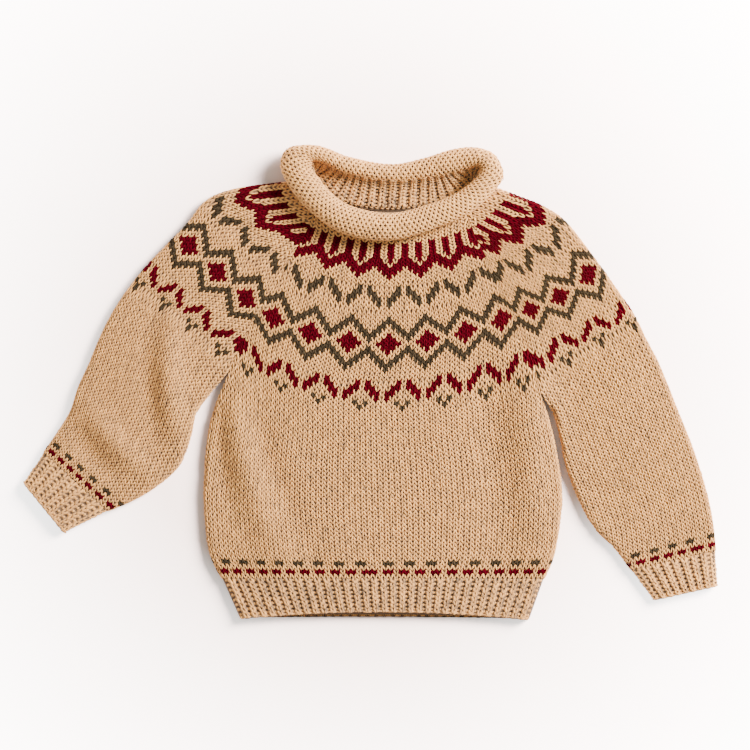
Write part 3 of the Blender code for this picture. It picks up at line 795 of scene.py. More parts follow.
back_cells = piece_cells(back_place, COLUMNS, BODY_ROWS, panel_run)
back_knit = knit_objects("back", back_cells, yarn_chart(back_cells, BODY_ROWS), LEG_UNDER,
                         LEG_UNDER)
back_wall = wall_of("back", back_place, BODY_ROWS, BACK_GRID)


# ---------------------------------------------------------------------------
# Sleeves. Each is one tube knitted in the same wools that lies folded along its outer
# line, with the yoke's bands running on from the front; its rows meet the front's at
# the raglan.
# ---------------------------------------------------------------------------
# Places down a sleeve: where it meets the front and the back, or its own seam, where
# its outer fold lies, and how far it bends down at the seam
Turn = namedtuple("Turn", "front_x front_y back_x back_y fold_x fold_y bend")


def arm_turn(seam_x, seam_y, fold_x, fold_y):
    return Turn(seam_x, seam_y, seam_x, seam_y, fold_x, fold_y, 1)


def sleeve_turns(column, yoke, arm):
    """A sleeve's turns from the neck: in the yoke they end on the raglan seams."""
    turns = [Turn(raglan_x(front_y, column), front_y, raglan_x(back_y, column), back_y,
                  fold_x, fold_y, 0) for front_y, back_y, fold_x, fold_y in yoke]
    return turns + [arm_turn(*row) for row in arm]


RIGHT_SLEEVE = sleeve_turns("right_x", (
    (144.2, 156.2, -61.2, 171.6),
    (125.4, 132.0, -114.3, 164.4),
    (109.6, 112.6, -140.0, 154.5),
    (90.7, 92.0, -155.4, 135.7),
    (59.5, 59.5, -175.1, 115.1),
    (27.8, 27.8, -195.6, 92.9),
    (7.3, 7.3, -211.9, 71.5),
), (
    (-135.7, -11.6, -223.8, 51.8),
    (-147.7, -28.7, -232.4, 33.8),
    (-152.8, -50.9, -240.1, 15.0),
    (-162.2, -73.2, -249.5, -5.6),
    (-181.0, -90.3, -255.9, -25.3),
    (-200.7, -102.3, -266.6, -43.2),
    (-222.1, -111.7, -278.6, -60.3),
))
RIGHT_CUFF_EDGE = arm_turn(-258.9, -130.5, -295.7, -86.0)
LEFT_SLEEVE = sleeve_turns("left_x", (
    (142.5, 156.2, 100.6, 168.2),
    (122.0, 130.0, 123.7, 159.6),
    (105.0, 109.0, 148.5, 149.4),
    (83.5, 85.0, 168.2, 135.7),
    (50.1, 50.1, 194.7, 102.3),
    (16.7, 16.7, 224.7, 59.5),
    (-9.8, -9.8, 236.7, 36.4),
), (
    (157.2, -29.5, 247.4, 15.8),
    (162.6, -50.5, 256.8, -6.8),
    (166.9, -71.5, 265.8, -29.5),
    (173.6, -91.2, 274.8, -51.8),
    (182.5, -110.9, 282.5, -74.0),
    (193.9, -128.8, 289.3, -97.2),
    (209.3, -143.8, 294.0, -120.7),
    (222.1, -161.4, 296.6, -144.2),
))
LEFT_CUFF_EDGE = arm_turn(241.0, -187.0, 298.3, -174.2)

# Rows don't follow the table's turns: down the yoke they lie further on by a shift,
# in turns, at the outer fold and half way to it
Sleeve = namedtuple("Sleeve", "turns side rows shifts point chevron last_point"
                    " yoke_spread arm_spread starts")
Shift = namedtuple("Shift", "turn fold half_way")
RIGHT_SHIFTS = (Shift(0, 0, 0), Shift(0.57, -0.3, -0.1), Shift(1.28, -0.7, -0.2),
                Shift(2.03, -1.0, -0.26), Shift(2.77, -1.1, -0.4), Shift(3.23, -0.8, -0.33),
                Shift(3.95, -0.5, -0.2), Shift(4.56, -0.25, -0.1), Shift(4.97, -0.08, -0.03),
                Shift(5.51, -0.23, -0.2), Shift(6.3, -0.15, -0.13), Shift(7.2, 0, 0))
LEFT_SHIFTS = (Shift(0, 0, 0), Shift(1, 0.42, 0.4), Shift(1.88, 0.5, 0.6), Shift(2.59, 0.32, 0.5),
               Shift(3.2, 0.25, 0.38), Shift(3.82, 0.2, 0.3), Shift(4.4, 0.06, 0.12),
               Shift(4.94, 0, 0), Shift(5.53, -0.28, -0.28), Shift(6.3, -0.2, -0.2),
               Shift(7.2, 0, 0))
# How wide a sleeve's stitches lie from the outer fold to the seam, as shares of their
# usual width, in the yoke and in the arm, and how far its first column lies from the
# fold at some rows
FOLD_TO_SEAM = (0.0, 0.1, 0.22, 0.3, 0.37, 0.5)
START_ROWS = (13.5, 18, 28.5, 39, 42)
ARM_ROWS = (30, 39)
SLEEVES = {
    "right": Sleeve(RIGHT_SLEEVE, 1, 90, RIGHT_SHIFTS, 3, 1, 12,
                    (1.0,) * 6, (0.83, 0.83, 0.83, 0.9, 1.0, 1.14),
                    (1.5, 0.0, 0.0, 9.4, 9.2)),
    "left": Sleeve(LEFT_SLEEVE, -1, 95, LEFT_SHIFTS, 3, -2, 99,
                   (0.96, 0.95, 0.91, 0.82, 0.77, 0.74), (0.93, 0.93, 0.93, 0.95, 1.0, 1.06),
                   (3.0, 2.0, 0.0, 6.5, 8.6)),
}
UNDERARM_TURN = 6
UNDERARM_COURSE = 5
TURN_SAMPLES = 401
SLEEVE_DIAMOND = 4
SLEEVE_GRID = (80, 81)
# A stitch whose normal rises less than this lies on the underside
SEEN_NORMAL = -0.3


def sleeve_point(turns, side, v, share, out=0.0):
    """Points and outward normals of a sleeve.

    share is 0 on the outer fold and 0.5 on a seam; side is the sign of share on
    the part that lies on top.
    """
    v, share = np.broadcast_arrays(v, share)
    on_top = share * side > 0
    bend = along(turns, "bend", v)
    column = "right_x" if side > 0 else "left_x"
    fold = np.stack([along(turns, "fold_x", v), along(turns, "fold_y", v)], -1)
    ends = {}
    for end in ("front", "back"):
        y = along(turns, end + "_y", v)
        x = np.where(bend == 0, raglan_x(y, column), along(turns, end + "_x", v))
        ends[end] = np.stack([x, y], -1)

    def flat_width(edge):
        return (np.linalg.norm(fold - edge, axis=-1) - SEAM_GAP / 2
                - FOLD_RADIUS - WALL / 2)

    edge = np.where(on_top[..., None], ends["front"], ends["back"])
    quarter = FOLD_RADIUS * math.pi / 2
    length = quarter + flat_width(edge) - strip_saving(bend)
    from_fold = 2 * np.abs(share) * length
    in_fold = from_fold < quarter
    angle = math.pi / 2 - np.where(on_top, 1, -1) * np.minimum(from_fold, quarter) / FOLD_RADIUS
    part = (angle / math.pi)[..., None]
    edge = np.where(in_fold[..., None], ends["front"] * (1 - part) + ends["back"] * part, edge)
    offset, drop, turned, up = bent_edge(length - from_fold, bend)
    offset = np.where(in_fold, flat_width(edge) + FOLD_RADIUS * np.sin(angle), offset)
    middle_level = (FRONT_LEVEL + BACK_LEVEL) / 2
    level = np.where(on_top, FRONT_LEVEL - drop, BACK_LEVEL + drop)
    level = np.where(in_fold, middle_level + FOLD_RADIUS * np.cos(angle), level)
    sideways = np.where(in_fold, np.sin(angle), -turned)
    upward = np.where(in_fold, np.cos(angle), np.where(on_top, up, -up))
    run = fold - edge
    run = run / np.linalg.norm(run, axis=-1)[..., None]
    plan = edge + run * (SEAM_GAP / 2 + offset)[..., None]
    level = level + fold_height(plan[..., 0], plan[..., 1]) * np.maximum(upward, 0.0)
    normal = np.concatenate([run * sideways[..., None], upward[..., None]], -1)
    middle = np.concatenate([plan, level[..., None]], -1)
    return middle + normal * (WALL / 2 + np.asarray(out)[..., None]), normal


def sleeve_rows(sleeve):
    """For each row's upper edge, the place down the table where it meets the front."""
    rows = np.arange(sleeve.rows + 1, dtype=float)
    end = "left_y" if sleeve.side > 0 else "right_y"
    yoke_v = np.linspace(0, UNDERARM_TURN, TURN_SAMPLES)
    heights = along(sleeve.turns, "front_y", yoke_v)
    meets = along(FRONT_COURSES, end, np.minimum(row_place(rows), UNDERARM_COURSE))
    place = np.interp(-meets, -heights, yoke_v)
    arm_v = np.linspace(UNDERARM_TURN, len(sleeve.turns) - 1, TURN_SAMPLES)
    line = sleeve_point(sleeve.turns, sleeve.side, arm_v, 0.25 * sleeve.side)[0]
    run = run_along(line)
    first = np.interp(UNDERARM_COURSE, row_place(rows[:BODY_ROWS]), rows[:BODY_ROWS])
    part = np.clip((rows - first) / (sleeve.rows - first), 0, 1)
    return rows, np.where(rows <= first, place, np.interp(part * run[-1], run, arm_v))


def sleeve_place(sleeve):
    rows, places = sleeve_rows(sleeve)
    turns, at_fold, half_way = zip(*sleeve.shifts)

    def place(row, share, out=0.0):
        v = np.interp(row, rows, places)
        part = 1 - 2 * np.abs(share)
        fold, half = np.interp(v, turns, at_fold), np.interp(v, turns, half_way)
        shift = fold * part * (2 * part - 1) + half * 4 * part * (1 - part)
        last = len(sleeve.turns) - 1.0
        return sleeve_point(sleeve.turns, sleeve.side, np.clip(v + shift, 0, last), share, out)
    return place


SLEEVE_WIDTHS = ((57.8, 4.0), (31.7, 4.19), (-16.7, 4.25), (-109.1, 4.3), (-168.2, 4.15))
SLEEVE_COLUMNS = COLUMNS[:-1] + (COLUMNS[-1]._replace(widths=SLEEVE_WIDTHS),)


def sleeve_run(sleeve):
    """Gives the distance along each row from the sleeve's first column."""
    across = np.abs(np.linspace(-0.5, 0.5, LINE_SAMPLES))[1:]
    yoke, arm = (np.interp(across, FOLD_TO_SEAM, spread)
                 for spread in (sleeve.yoke_spread, sleeve.arm_spread))

    def run_of(points, edges):
        below = np.interp(edges, ARM_ROWS, (0.0, 1.0))[:, None]
        run = run_along(points, yoke * (1 - below) + arm * below)
        start = np.interp(edges, START_ROWS, sleeve.starts) * sleeve.side
        return run - run[:, [LINE_SAMPLES // 2]] - start[:, None]
    return run_of


sleeve_walls, sleeve_knits = {}, {}
for name, sleeve in SLEEVES.items():
    place = sleeve_place(sleeve)
    cells = piece_cells(place, SLEEVE_COLUMNS, sleeve.rows, sleeve_run(sleeve))
    yarn = yarn_chart(cells, sleeve.rows, SLEEVE_DIAMOND, sleeve.point, sleeve.chevron,
                      sleeve.last_point)
    on_top = cells.normals[:, 0, 2] > SEEN_NORMAL
    made = []
    for part, mask, pieces in (("", on_top, (LEG, COLOR_LEG)),
                               ("_under", ~on_top, (LEG_UNDER, LEG_UNDER))):
        made += knit_objects(f"sleeve_{name}{part}", pick(cells, mask), yarn[mask], *pieces)
    sleeve_knits[name] = made
    sleeve_walls[name] = wall_of(f"sleeve_{name}", place, sleeve.rows, SLEEVE_GRID)


# ---------------------------------------------------------------------------
# Floor. The plain white board that the sweater lies on. It is matt and faintly grained.
# Painted light: it glows where it is far from the sweater, so that it is evenly white
# there, and is darker near the sweater.
# ---------------------------------------------------------------------------
FLOOR_HALF = 4.0
FLOOR_DROP = 0.0002
GLOW = 9.0
GLOW_START, GLOW_END = 0.2, 0.5


def two_colors(tree, value, first, last):
    """A colour that runs from the first to the last as a value goes from 0 to 1."""
    ramp = add_node(tree, "ShaderNodeValToRGB")
    for stop, color in zip(ramp.color_ramp.elements, (first, last)):
        stop.color = (*color, 1)
    tree.links.new(value, ramp.inputs["Fac"])
    return ramp.outputs["Color"]


def stage_floor():
    mesh = bpy.data.meshes.new("floor")
    half = FLOOR_HALF
    mesh.from_pydata([(-half, -half, 0), (half, -half, 0), (half, half, 0), (-half, half, 0)],
                     [], [(0, 1, 2, 3)])
    obj = bpy.data.objects.new("floor", mesh)
    bpy.context.collection.objects.link(obj)
    obj.location.z = -FLOOR_DROP
    material = bpy.data.materials.new("white_board")
    material.use_nodes = True
    tree = material.node_tree
    surface = tree.nodes["Principled BSDF"]
    grain = add_node(tree, "ShaderNodeTexNoise", Scale=60.0, Detail=3.0)
    board = two_colors(tree, grain.outputs[0], (0.65, 0.52, 0.43), (0.67, 0.54, 0.45))
    tree.links.new(board, surface.inputs["Base Color"])
    surface.inputs["Roughness"].default_value = 0.7
    spot = add_node(tree, "ShaderNodeTexCoord")
    far = add_node(tree, "ShaderNodeVectorMath", operation="LENGTH")
    tree.links.new(spot.outputs["Object"], far.inputs[0])
    # Painted light: the floor glows more the further it is from the sweater, and not at all close
    # to it
    glow = add_node(tree, "ShaderNodeMapRange", From_Min=GLOW_START, From_Max=GLOW_END,
                    To_Min=0.0, To_Max=1.0)
    tree.links.new(far.outputs["Value"], glow.inputs["Value"])
    white = two_colors(tree, glow.outputs["Result"], (0.0, 0.0, 0.0), (1.0, 1.0, 1.0))
    tree.links.new(white, surface.inputs["Emission Color"])
    surface.inputs["Emission Strength"].default_value = GLOW
    mesh.materials.append(material)
    return obj


floor = stage_floor()


# ---------------------------------------------------------------------------
# Hems. A 1x1 rib band in oatmeal wool, knitted on under each body panel: broad ribs of
# knit stitches, with a column of small purl bumps deep between each two, and a firm
# edge.
# ---------------------------------------------------------------------------
HEM_SEAM = FRONT_COURSES[-1]
FRONT_HEM = (HEM_SEAM, Course(-112.6, -202.4, 138.2, -203.3, -196.6, 1, 0.0))
BACK_HEM = (HEM_SEAM, Course(-112.6, -201.4, 138.2, -202.3, -200.6, 1, 0.0))
HEM_ROWS = 8
HEM_RIBS = 33
RIB_HALF = 0.45
FURROW_HALF = 0.2


def rounded(piece, fall):
    """A yarn piece that falls away towards the sides of its rib."""
    return piece._replace(z=piece.z - fall * (2 * piece.u) ** 2)


def arch(top, half=0.52, foot=0.28, crown=0.3, thickness=0.2, depth=0.9, ends=0.8):
    """A bump of yarn across a column, as on the purl side."""
    def line(t):
        return half * (2 * t - 1), foot + crown * np.sin(np.pi * t)

    def radius(t):
        return np.full(t.shape, thickness)

    def rise(t):
        return top - ends * dive(t, 0.4, 0.4), np.full(t.shape, depth)
    return strand(line, radius, rise, 5, 4)


def ladder(place, first, last, centres, half):
    """Cells of separate columns round a ribbed piece, from row to row."""
    row, column = np.meshgrid(np.arange(first, last), np.arange(len(centres)), indexing="ij")
    row, column = row.ravel(), column.ravel()
    centre = np.asarray(centres)[column]
    low, high = centre - half, centre + half
    across = np.stack([low, high, low, high], 1)
    down = np.stack([row + 1.0, row + 1.0, row, row], 1)
    return Cells(*place(down, across), row, column)


RAISED_LEG = leg(6, 4, top=0.85, depth=1.5, splay=0.27, half=0.25)
RIB_LEG = rounded(RAISED_LEG, 1.0)
RIB_LEG_UNDER = leg(4, 3, top=0.0, depth=1.0, splay=0.32)
FURROW = arch(-0.5, half=0.6, thickness=0.26)
CAST_EDGE = arch(0.45, half=0.56, foot=-0.06, crown=-0.05, thickness=0.24, depth=1.7, ends=0.9)
CAST_FURROW = arch(-0.45, half=0.6, foot=-0.02, crown=0.0, thickness=0.22, depth=1.2, ends=0.3)
# How much lower the bumps and the edge lie on the underside, so that it stays flat
UNDER_LIFTS = (-0.2, -0.5)


def rib_object(name, place, rows, ribs, furrows, pitch, top, shade=0.0):
    """All the yarn of a 1x1 rib: legs on the ribs, bumps between, and its edge."""
    knit = ladder(place, 0, rows, ribs, RIB_HALF * pitch)
    purl = ladder(place, 0, rows, furrows, FURROW_HALF * pitch)
    piece = RIB_LEG if top else RIB_LEG_UNDER
    furrow_lift, edge_lift = (0.0, 0.0) if top else UNDER_LIFTS
    laid = [lay(knit, piece, shade=shade), lay(knit, piece, mirrored=True, shade=shade),
            lay(purl, FURROW, lift=furrow_lift),
            lay(pick(knit, knit.row == rows - 1), CAST_EDGE, lift=edge_lift),
            lay(pick(purl, purl.row == rows - 1), CAST_FURROW, lift=edge_lift)]
    return yarn_object(name, laid, OATMEAL)


def past_seam(row, rows, run):
    """The place of a row down a band of so many rows and that length, below its seam."""
    first = SEAM_GAP / run
    return first + (1 - first) * np.asarray(row, float) / rows


def hem_place(courses, upper):
    run = courses[0].left_y - courses[1].left_y

    def place(row, share, out=0.0):
        return panel_place(courses, past_seam(row, HEM_ROWS, run), share, upper, out)
    return place


HEM_BEND_SHARE = FOLD_RADIUS * SIDE_BEND / (FRONT_HEM[0].right_x - FRONT_HEM[0].left_x)
HEM_PITCH = (1 - 2 * HEM_BEND_SHARE) / HEM_RIBS
# One more rib lies in each side's bend, this share of a pitch from where it begins
BEND_RIB = 0.4
hem_ribs = [-0.5 + HEM_BEND_SHARE + (k + 0.5) * HEM_PITCH for k in range(HEM_RIBS)]
hem_ribs = [-0.5 + HEM_BEND_SHARE - BEND_RIB * HEM_PITCH] + hem_ribs + [
    0.5 - HEM_BEND_SHARE + BEND_RIB * HEM_PITCH]
hem_furrows = [-0.5 + HEM_BEND_SHARE + k * HEM_PITCH for k in range(HEM_RIBS + 1)]
# Painted shade: the hem's ribs are drawn darker than the rest of the oatmeal yarn
HEM_PAINTED_SHADE = 0.1
HEM_GRID = (10, 100)
# A ribbed wall lies lower than a plain one, and ends short of the last row's edge
RIB_WALL_TOP = -1.3
RIB_WALL_SHORT = 0.15


for name, courses, upper in (("front", FRONT_HEM, True), ("back", BACK_HEM, False)):
    place = hem_place(courses, upper)
    knit = rib_object(f"hem_{name}_rib", place, HEM_ROWS, hem_ribs, hem_furrows, HEM_PITCH,
                      upper, HEM_PAINTED_SHADE)
    wall = wall_of(f"hem_{name}", place, HEM_ROWS - RIB_WALL_SHORT, HEM_GRID, RIB_WALL_TOP)


# ---------------------------------------------------------------------------
# Cuffs. The same oatmeal rib, knitted on all round the end of each sleeve. It lies flat
# with the sleeve, so that half of its ribs are underneath.
# ---------------------------------------------------------------------------
CUFF_ROWS = 8
CUFF_RIBS = 18
CUFF_GRID = (10, 97)


def cuff_place(sleeve, edge):
    turns = (sleeve.turns[-1], edge)
    run = math.hypot(edge.fold_x - turns[0].fold_x, edge.fold_y - turns[0].fold_y)

    def place(row, share, out=0.0):
        return sleeve_point(turns, sleeve.side, past_seam(row, CUFF_ROWS, run), share, out)
    return place


cuff_ribs = [(k + 0.5) / CUFF_RIBS - 0.5 for k in range(CUFF_RIBS)]
cuff_furrows = [k / CUFF_RIBS - 0.5 for k in range(1, CUFF_RIBS)]
for name, edge in (("right", RIGHT_CUFF_EDGE), ("left", LEFT_CUFF_EDGE)):
    place = cuff_place(SLEEVES[name], edge)
    facing = SLEEVES[name].side
    knit = []
    for part, top in (("", True), ("_under", False)):
        want = facing if top else -facing
        ribs = [c for c in cuff_ribs if c * want > 0]
        furrows = [c for c in cuff_furrows if c * want > 0 or (top and c == 0)]
        knit.append(rib_object(f"cuff_{name}_rib{part}", place, CUFF_ROWS, ribs, furrows,
                               1 / CUFF_RIBS, top))
    wall = wall_of(f"cuff_{name}", place, CUFF_ROWS - RIB_WALL_SHORT, CUFF_GRID, RIB_WALL_TOP)


# ---------------------------------------------------------------------------
# Neckband. 1x1 rib in oatmeal wool that stands up from the neck seam; its inside shows
# at the back of the neck, with a row of small gaps where its stitches were picked up.
# ---------------------------------------------------------------------------
# The roll once round, by share from the middle of the back: its inner and outer edge
# as seen from above, and how high its lowest and highest points are
Roll = namedtuple("Roll", "share inner_x inner_y outer_x outer_y bottom top")
ROLLS = (
    Roll(0.00, 18.4, 169.1, 18.4, 184.9, 0.3, 15.0),
    Roll(0.08, 49.2, 171.6, 46.7, 190.0, 0.3, 17.0),
    Roll(0.15, 70.6, 176.3, 70.6, 197.3, 0.3, 20.0),
    Roll(0.19, 84.3, 180.2, 89.5, 199.0, 1.0, 22.0),
    Roll(0.22, 92.0, 181.9, 104.9, 193.9, 4.0, 25.0),
    Roll(0.25, 93.7, 178.5, 113.4, 180.2, 8.0, 27.0),
    Roll(0.28, 89.5, 171.6, 111.7, 168.2, 9.5, 28.0),
    Roll(0.33, 74.9, 160.5, 90.3, 145.9, 9.5, 28.0),
    Roll(0.40, 53.5, 151.1, 62.9, 132.3, 9.5, 28.0),
    Roll(0.50, 18.4, 142.5, 18.4, 119.0, 9.5, 28.0),
    Roll(0.60, -15.0, 148.5, -22.7, 125.0, 9.5, 28.0),
    Roll(0.667, -33.0, 160.1, -49.2, 142.5, 9.5, 28.0),
    Roll(0.72, -42.4, 171.6, -67.2, 163.1, 9.5, 28.0),
    Roll(0.76, -49.2, 181.5, -75.8, 182.8, 7.0, 26.0),
    Roll(0.79, -47.4, 186.4, -69.8, 197.7, 4.0, 24.0),
    Roll(0.83, -38.9, 184.5, -45.8, 200.7, 1.0, 22.0),
    Roll(0.90, -19.3, 175.5, -18.4, 191.3, 0.3, 18.0),
)
# The angles at which its cloth leaves the rib and ends, and how far each swings from
# the back of the neck to the front
ROLL_START = (-5.0, 35.0)
ROLL_END = (260.0, 20.0)


def roll_value(column, share):
    """One column of the roll's table, worked out smoothly all the way round."""
    share = np.mod(share, 1.0)
    count = len(ROLLS)
    marks = np.array([r.share for r in ROLLS[-1:] + ROLLS + ROLLS[:2]])
    marks[0] -= 1.0
    marks[count + 1:] += 1.0
    values = np.array([getattr(r, column) for r in ROLLS[-1:] + ROLLS + ROLLS[:2]])
    index = np.clip(np.searchsorted(marks, share, side="right") - 1, 1, count)
    span = marks[index + 1] - marks[index]
    t = (share - marks[index]) / span
    a, b, c, d = (values[index + k] for k in (-1, 0, 1, 2))
    slope_in = (c - a) / (marks[index + 1] - marks[index - 1]) * span
    slope_out = (d - b) / (marks[index + 2] - marks[index]) * span
    return (b * (2 * t ** 3 - 3 * t * t + 1) + slope_in * (t ** 3 - 2 * t * t + t)
            + c * (3 * t * t - 2 * t ** 3) + slope_out * (t ** 3 - t * t))


def swung_angle(base_and_swing, share):
    """An angle of the roll that swings from the back of the neck to the front."""
    base, swing = base_and_swing
    return np.radians(base + swing * np.cos(math.tau * share))


def unit(vectors):
    return vectors / np.linalg.norm(vectors, axis=-1)[..., None]


def roll_place(share, angle, out=0.0):
    """Points, outward normals and running directions of the roll's cloth."""
    share, angle = np.broadcast_arrays(share, angle)
    inner = np.stack([roll_value("inner_x", share), roll_value("inner_y", share)], -1)
    outer = np.stack([roll_value("outer_x", share), roll_value("outer_y", share)], -1)
    bottom, top = roll_value("bottom", share), roll_value("top", share)
    away = unit(outer - inner)
    across = np.linalg.norm(outer - inner, axis=-1) / 2 - WALL / 2
    upright = (top - bottom) / 2 - WALL / 2
    cos, sin = np.cos(angle), np.sin(angle)
    plan = (inner + outer) / 2 - away * (across * cos)[..., None]
    point = np.concatenate([plan, ((bottom + top) / 2 + upright * sin)[..., None]], -1)
    slope = np.concatenate([away * (across * sin)[..., None], (upright * cos)[..., None]], -1)
    normal = np.concatenate([away * (-upright * cos)[..., None],
                             (across * sin)[..., None]], -1)
    normal = unit(normal)
    return point + normal * (WALL / 2 + np.asarray(out)[..., None]), normal, unit(slope)


LOOP_SAMPLES = 120


def neck_loop():
    """The neck seam once round from the middle of the back: its inside and outside."""
    half = np.linspace(0.0, 0.5, LOOP_SAMPLES)
    whole = np.linspace(-0.5, 0.5, 2 * LOOP_SAMPLES)
    edges = []
    for out in (-WALL, 0.0):
        back, back_end = (panel_place(BACK_COURSES, 0.0, share, False, out)[0]
                          for share in (half, half - 0.5))
        front = panel_place(FRONT_COURSES, 0.0, whole[::-1], True, out)[0]
        left = sleeve_point(LEFT_SLEEVE, -1, 0.0, whole[::-1], out)[0]
        right = sleeve_point(RIGHT_SLEEVE, 1, 0.0, whole[::-1], out)[0]
        edges.append(np.concatenate([back, left, front, right, back_end]))
    middle = (edges[0] + edges[1]) / 2
    run = run_along(middle)
    return run / run[-1], edges[0], edges[1]


LOOP_SHARE, LOOP_INSIDE, LOOP_OUTSIDE = neck_loop()
NECK_TANGENT_REACH = 0.012
# The ribs lean towards the middle of the back as they rise
RIB_LEAN = 0.05
LEAN_MIDDLE = 0.02
LEAN_EVENING = 0.25


def loop_at(line, share):
    share = np.mod(share, 1.0)
    return np.stack([np.interp(share, LOOP_SHARE, line[:, k]) for k in range(3)], -1)


def band_points(share, part):
    """The middle of the neckband's cloth: part is 0 at the seam and 1 at the roll."""
    inside, outside = loop_at(LOOP_INSIDE, share), loop_at(LOOP_OUTSIDE, share)
    ahead, behind = (loop_at(LOOP_INSIDE, share + step) + loop_at(LOOP_OUTSIDE, share + step)
                     for step in (NECK_TANGENT_REACH, -NECK_TANGENT_REACH))
    leave = unit(np.cross(unit(ahead - behind), unit(outside - inside)))
    base = (inside + outside) / 2 + leave * SEAM_GAP
    turn = math.tau * (share - LEAN_MIDDLE)
    upper = share - RIB_LEAN * (np.sin(turn) - LEAN_EVENING * np.sin(3 * turn))
    end, _, slope = roll_place(upper, swung_angle(ROLL_START, upper), -WALL / 2)
    end = end - slope * SEAM_GAP
    pull = np.linalg.norm(end - base, axis=-1)[..., None] / 3
    t = part[..., None]
    return (base * (1 - t) ** 3 + (base + leave * pull) * 3 * t * (1 - t) ** 2
            + (end - slope * pull) * 3 * t * t * (1 - t) + end * t ** 3)


NECK_RIBS = 40
NECK_ROWS = 9
SEAM_STRIP = 0.1
# Half widths of ribs, furrows and picked-up stitches, and where the first rib lies,
# all as shares of a rib
NECK_RIB_HALF, NECK_FURROW_HALF, NECK_SEAM_HALF = 0.48, 0.13, 0.25
NECK_START = 0.125
# Painted shade: the inside of the neckband is drawn darker than the rest of the oatmeal yarn
NECK_PAINTED_SHADE = 0.07
NECK_WALL_TOP = -1.7
NECK_GRID = (14, 240)
# How far apart points are taken to find which way the band faces
AROUND_STEP, UPWARD_STEP = 0.004, 0.02


def band_place(row, share, out=0.0):
    """The neckband's shown side; rows are counted down from the roll."""
    row, share = np.broadcast_arrays(np.asarray(row, float), share)
    part = np.clip(1 - row / NECK_ROWS * (1 - SEAM_STRIP), 0, 1)
    around = band_points(share + AROUND_STEP, part) - band_points(share - AROUND_STEP, part)
    above = band_points(share, np.minimum(part + UPWARD_STEP, 1))
    rise = above - band_points(share, np.maximum(part - UPWARD_STEP, 0))
    normal = unit(np.cross(around, rise))
    point = band_points(share, part)
    return point + normal * (WALL / 2 + np.asarray(out)[..., None]), normal


def upside_down(piece):
    """A yarn piece turned over within its stitch."""
    return piece._replace(h=1 - piece.h, faces=piece.faces[:, ::-1])


neck_ribs = [(k + NECK_START) / NECK_RIBS for k in range(NECK_RIBS)]
neck_furrows = [(k + NECK_START + 0.5) / NECK_RIBS for k in range(NECK_RIBS)]
neck_knit = ladder(band_place, 0, NECK_ROWS, neck_ribs, NECK_RIB_HALF / NECK_RIBS)
neck_purl = ladder(band_place, 0, NECK_ROWS, neck_furrows, NECK_FURROW_HALF / NECK_RIBS)
NECK_LEG = upside_down(rounded(RAISED_LEG, 1.1))
PICKED_UP = arch(0.3, half=0.3, foot=0.05, crown=-0.2, thickness=0.17, depth=1.6)
neck_seam = ladder(band_place, NECK_ROWS - 1, NECK_ROWS,
                   [(k + 0.5) / (2 * NECK_RIBS) for k in range(2 * NECK_RIBS)],
                   NECK_SEAM_HALF / NECK_RIBS)
neckband_knit = yarn_object("neckband_rib", [
    lay(neck_knit, NECK_LEG, shade=NECK_PAINTED_SHADE),
    lay(neck_knit, NECK_LEG, mirrored=True, shade=NECK_PAINTED_SHADE),
    lay(neck_purl, FURROW), lay(neck_seam, PICKED_UP)], OATMEAL)
grid = np.meshgrid(np.linspace(0, NECK_ROWS / (1 - SEAM_STRIP), NECK_GRID[0]),
                   np.linspace(0, 1, NECK_GRID[1], endpoint=False), indexing="ij")
neckband = wall_object("neckband_cloth", band_place(*grid, NECK_WALL_TOP)[0],
                       band_place(*grid, -WALL)[0], PAINTED_SHADE_CLOTH, ring=True)
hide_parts("neckband")


# ---------------------------------------------------------------------------
# Collar roll. The plain oatmeal edge above the rib, which curls outward by itself, so
# that its purl side shows: rows of small bumps, set like bricks.
# ---------------------------------------------------------------------------
PURL_STITCH = (4.1, 3.3)
CREST_SAMPLES = 1201
ANGLE_SAMPLES = 181
# Painted light: a shade below zero, which draws the roll's yarn lighter than the rest of the
# oatmeal yarn
ROLL_PAINTED_LIGHT = -0.05
# A last row is left out where less than this share of it is left
SHORTEST = 0.6
LOOP_START, LOOP_TURN = 205, 230
LOOP_HALF, LOOP_RISE, LOOP_THICKNESS = 0.3, 0.48, 0.25
ROLL_GRID = (26, 240)


def roll_angle(share, part):
    """The angle at a part of the way over the roll."""
    first, last = swung_angle(ROLL_START, share), swung_angle(ROLL_END, share)
    return first + (last - first) * part


def roll_grid():
    """Column edges at even steps along the top of the roll, rows at even steps over it."""
    fine = np.linspace(0, 1, CREST_SAMPLES)
    crest = roll_place(fine, math.pi / 2)[0]
    run = run_along(crest)
    count = round(run[-1] / PURL_STITCH[0])
    share = np.interp(np.arange(count + 1) / count * run[-1], run, fine)
    angle = roll_angle(share[:, None], np.linspace(0, 1, ANGLE_SAMPLES))
    return share, angle, run_along(roll_place(share[:, None], angle)[0])


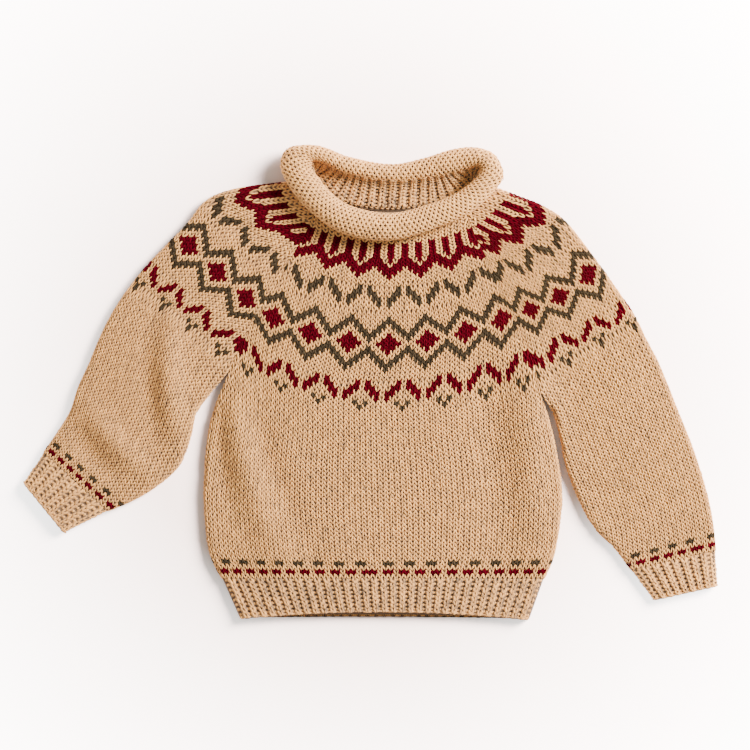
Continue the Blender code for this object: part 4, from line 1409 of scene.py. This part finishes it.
def roll_cells():
    share, angle, arc = roll_grid()
    rows = int(arc[:, -1].max() / PURL_STITCH[1]) + 1
    marks = np.arange(rows + 1) * PURL_STITCH[1]
    turned = np.stack([np.interp(marks, arc[c], angle[c]) for c in range(len(share))])
    row, column = np.meshgrid(np.arange(rows), np.arange(len(share) - 1), indexing="ij")
    row, column = row.ravel(), column.ravel()
    kept = arc[column, -1] > (row + SHORTEST) * PURL_STITCH[1]
    row, column = row[kept], column[kept]
    sides = np.stack([column, column + 1, column, column + 1], 1)
    ends = np.stack([row, row, row + 1, row + 1], 1)
    share = np.append(share, 1 + share[1])
    turned = np.concatenate([turned, turned[1:2]])
    along_half = (row[:, None] % 2) / 2
    shares = share[sides] * (1 - along_half) + share[sides + 1] * along_half
    angles = turned[sides, ends] * (1 - along_half) + turned[sides + 1, ends] * along_half
    corners, normals, _ = roll_place(shares, angles)
    return Cells(corners, normals, row, column)


def loop_arc(centre_u, centre_h, way):
    """A half loop of yarn: the head of a stitch (way 1), or the yarn between (-1)."""
    def line(t):
        turn = np.radians(LOOP_START - LOOP_TURN * t)
        return centre_u + LOOP_HALF * np.cos(turn), centre_h + way * LOOP_RISE * np.sin(turn)

    def radius(t):
        return np.full(t.shape, LOOP_THICKNESS)

    def rise(t):
        return 0.3 - 0.6 * dive(t, 0.4, 0.4), np.full(t.shape, 0.85)
    return strand(line, radius, rise, 6, 4)


roll_stitches = roll_cells()
roll_knit = yarn_object("collar_roll_purl", [
    lay(roll_stitches, loop_arc(0.0, 0.32, 1), shade=ROLL_PAINTED_LIGHT),
    lay(roll_stitches, loop_arc(0.5, 0.62, -1), shade=ROLL_PAINTED_LIGHT)], OATMEAL)
share, part = np.meshgrid(np.linspace(0, 1, ROLL_GRID[1], endpoint=False),
                          np.linspace(0, 1, ROLL_GRID[0]))
angle = roll_angle(share, part)
roll_wall = wall_object("collar_roll_cloth", roll_place(share, angle, WALL_TOP)[0],
                        roll_place(share, angle, -WALL)[0], PAINTED_SHADE_CLOTH, ring=True)
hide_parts("collar_roll")


# ---------------------------------------------------------------------------
# Light and camera. A soft light from the upper right, an even white studio, and a
# second light that falls on the floor alone; the camera looks straight down.
# ---------------------------------------------------------------------------
LIGHT_PLACE = (1.66, 0.99, 1.30)
STUDIO_STRENGTH = 0.92
FRAME_WIDTH = 0.642
FRAME_MIDDLE = (0.00345, 0.00585)


def soft_light(name, energy, size, color):
    """A square light at the upper right that is turned towards the sweater."""
    data = bpy.data.lights.new(name, "AREA")
    data.energy = energy
    data.size = size
    data.color = color
    light = bpy.data.objects.new(name, data)
    bpy.context.collection.objects.link(light)
    light.location = LIGHT_PLACE
    light.rotation_euler = (-light.location).to_track_quat("-Z", "Y").to_euler()
    return light


soft_light("window", 270.0, 0.7, (1.0, 0.98, 0.95))
board_light = soft_light("board_light", 700.0, 1.2, (0.93, 0.86, 0.97))
lit = bpy.data.collections.new("lit_by_board_light")
lit.objects.link(floor)
board_light.light_linking.receiver_collection = lit

world = bpy.data.worlds.new("studio")
world.use_nodes = True
background = world.node_tree.nodes["Background"]
background.inputs["Color"].default_value = (1.0, 1.0, 1.0, 1)
background.inputs["Strength"].default_value = STUDIO_STRENGTH
bpy.context.scene.world = world

camera_data = bpy.data.cameras.new("camera")
camera_data.lens = 180.0
camera_data.clip_end = 20.0
camera = bpy.data.objects.new("camera", camera_data)
bpy.context.collection.objects.link(camera)
camera.location = (*FRAME_MIDDLE, FRAME_WIDTH * camera_data.lens / camera_data.sensor_width)
bpy.context.scene.camera = camera
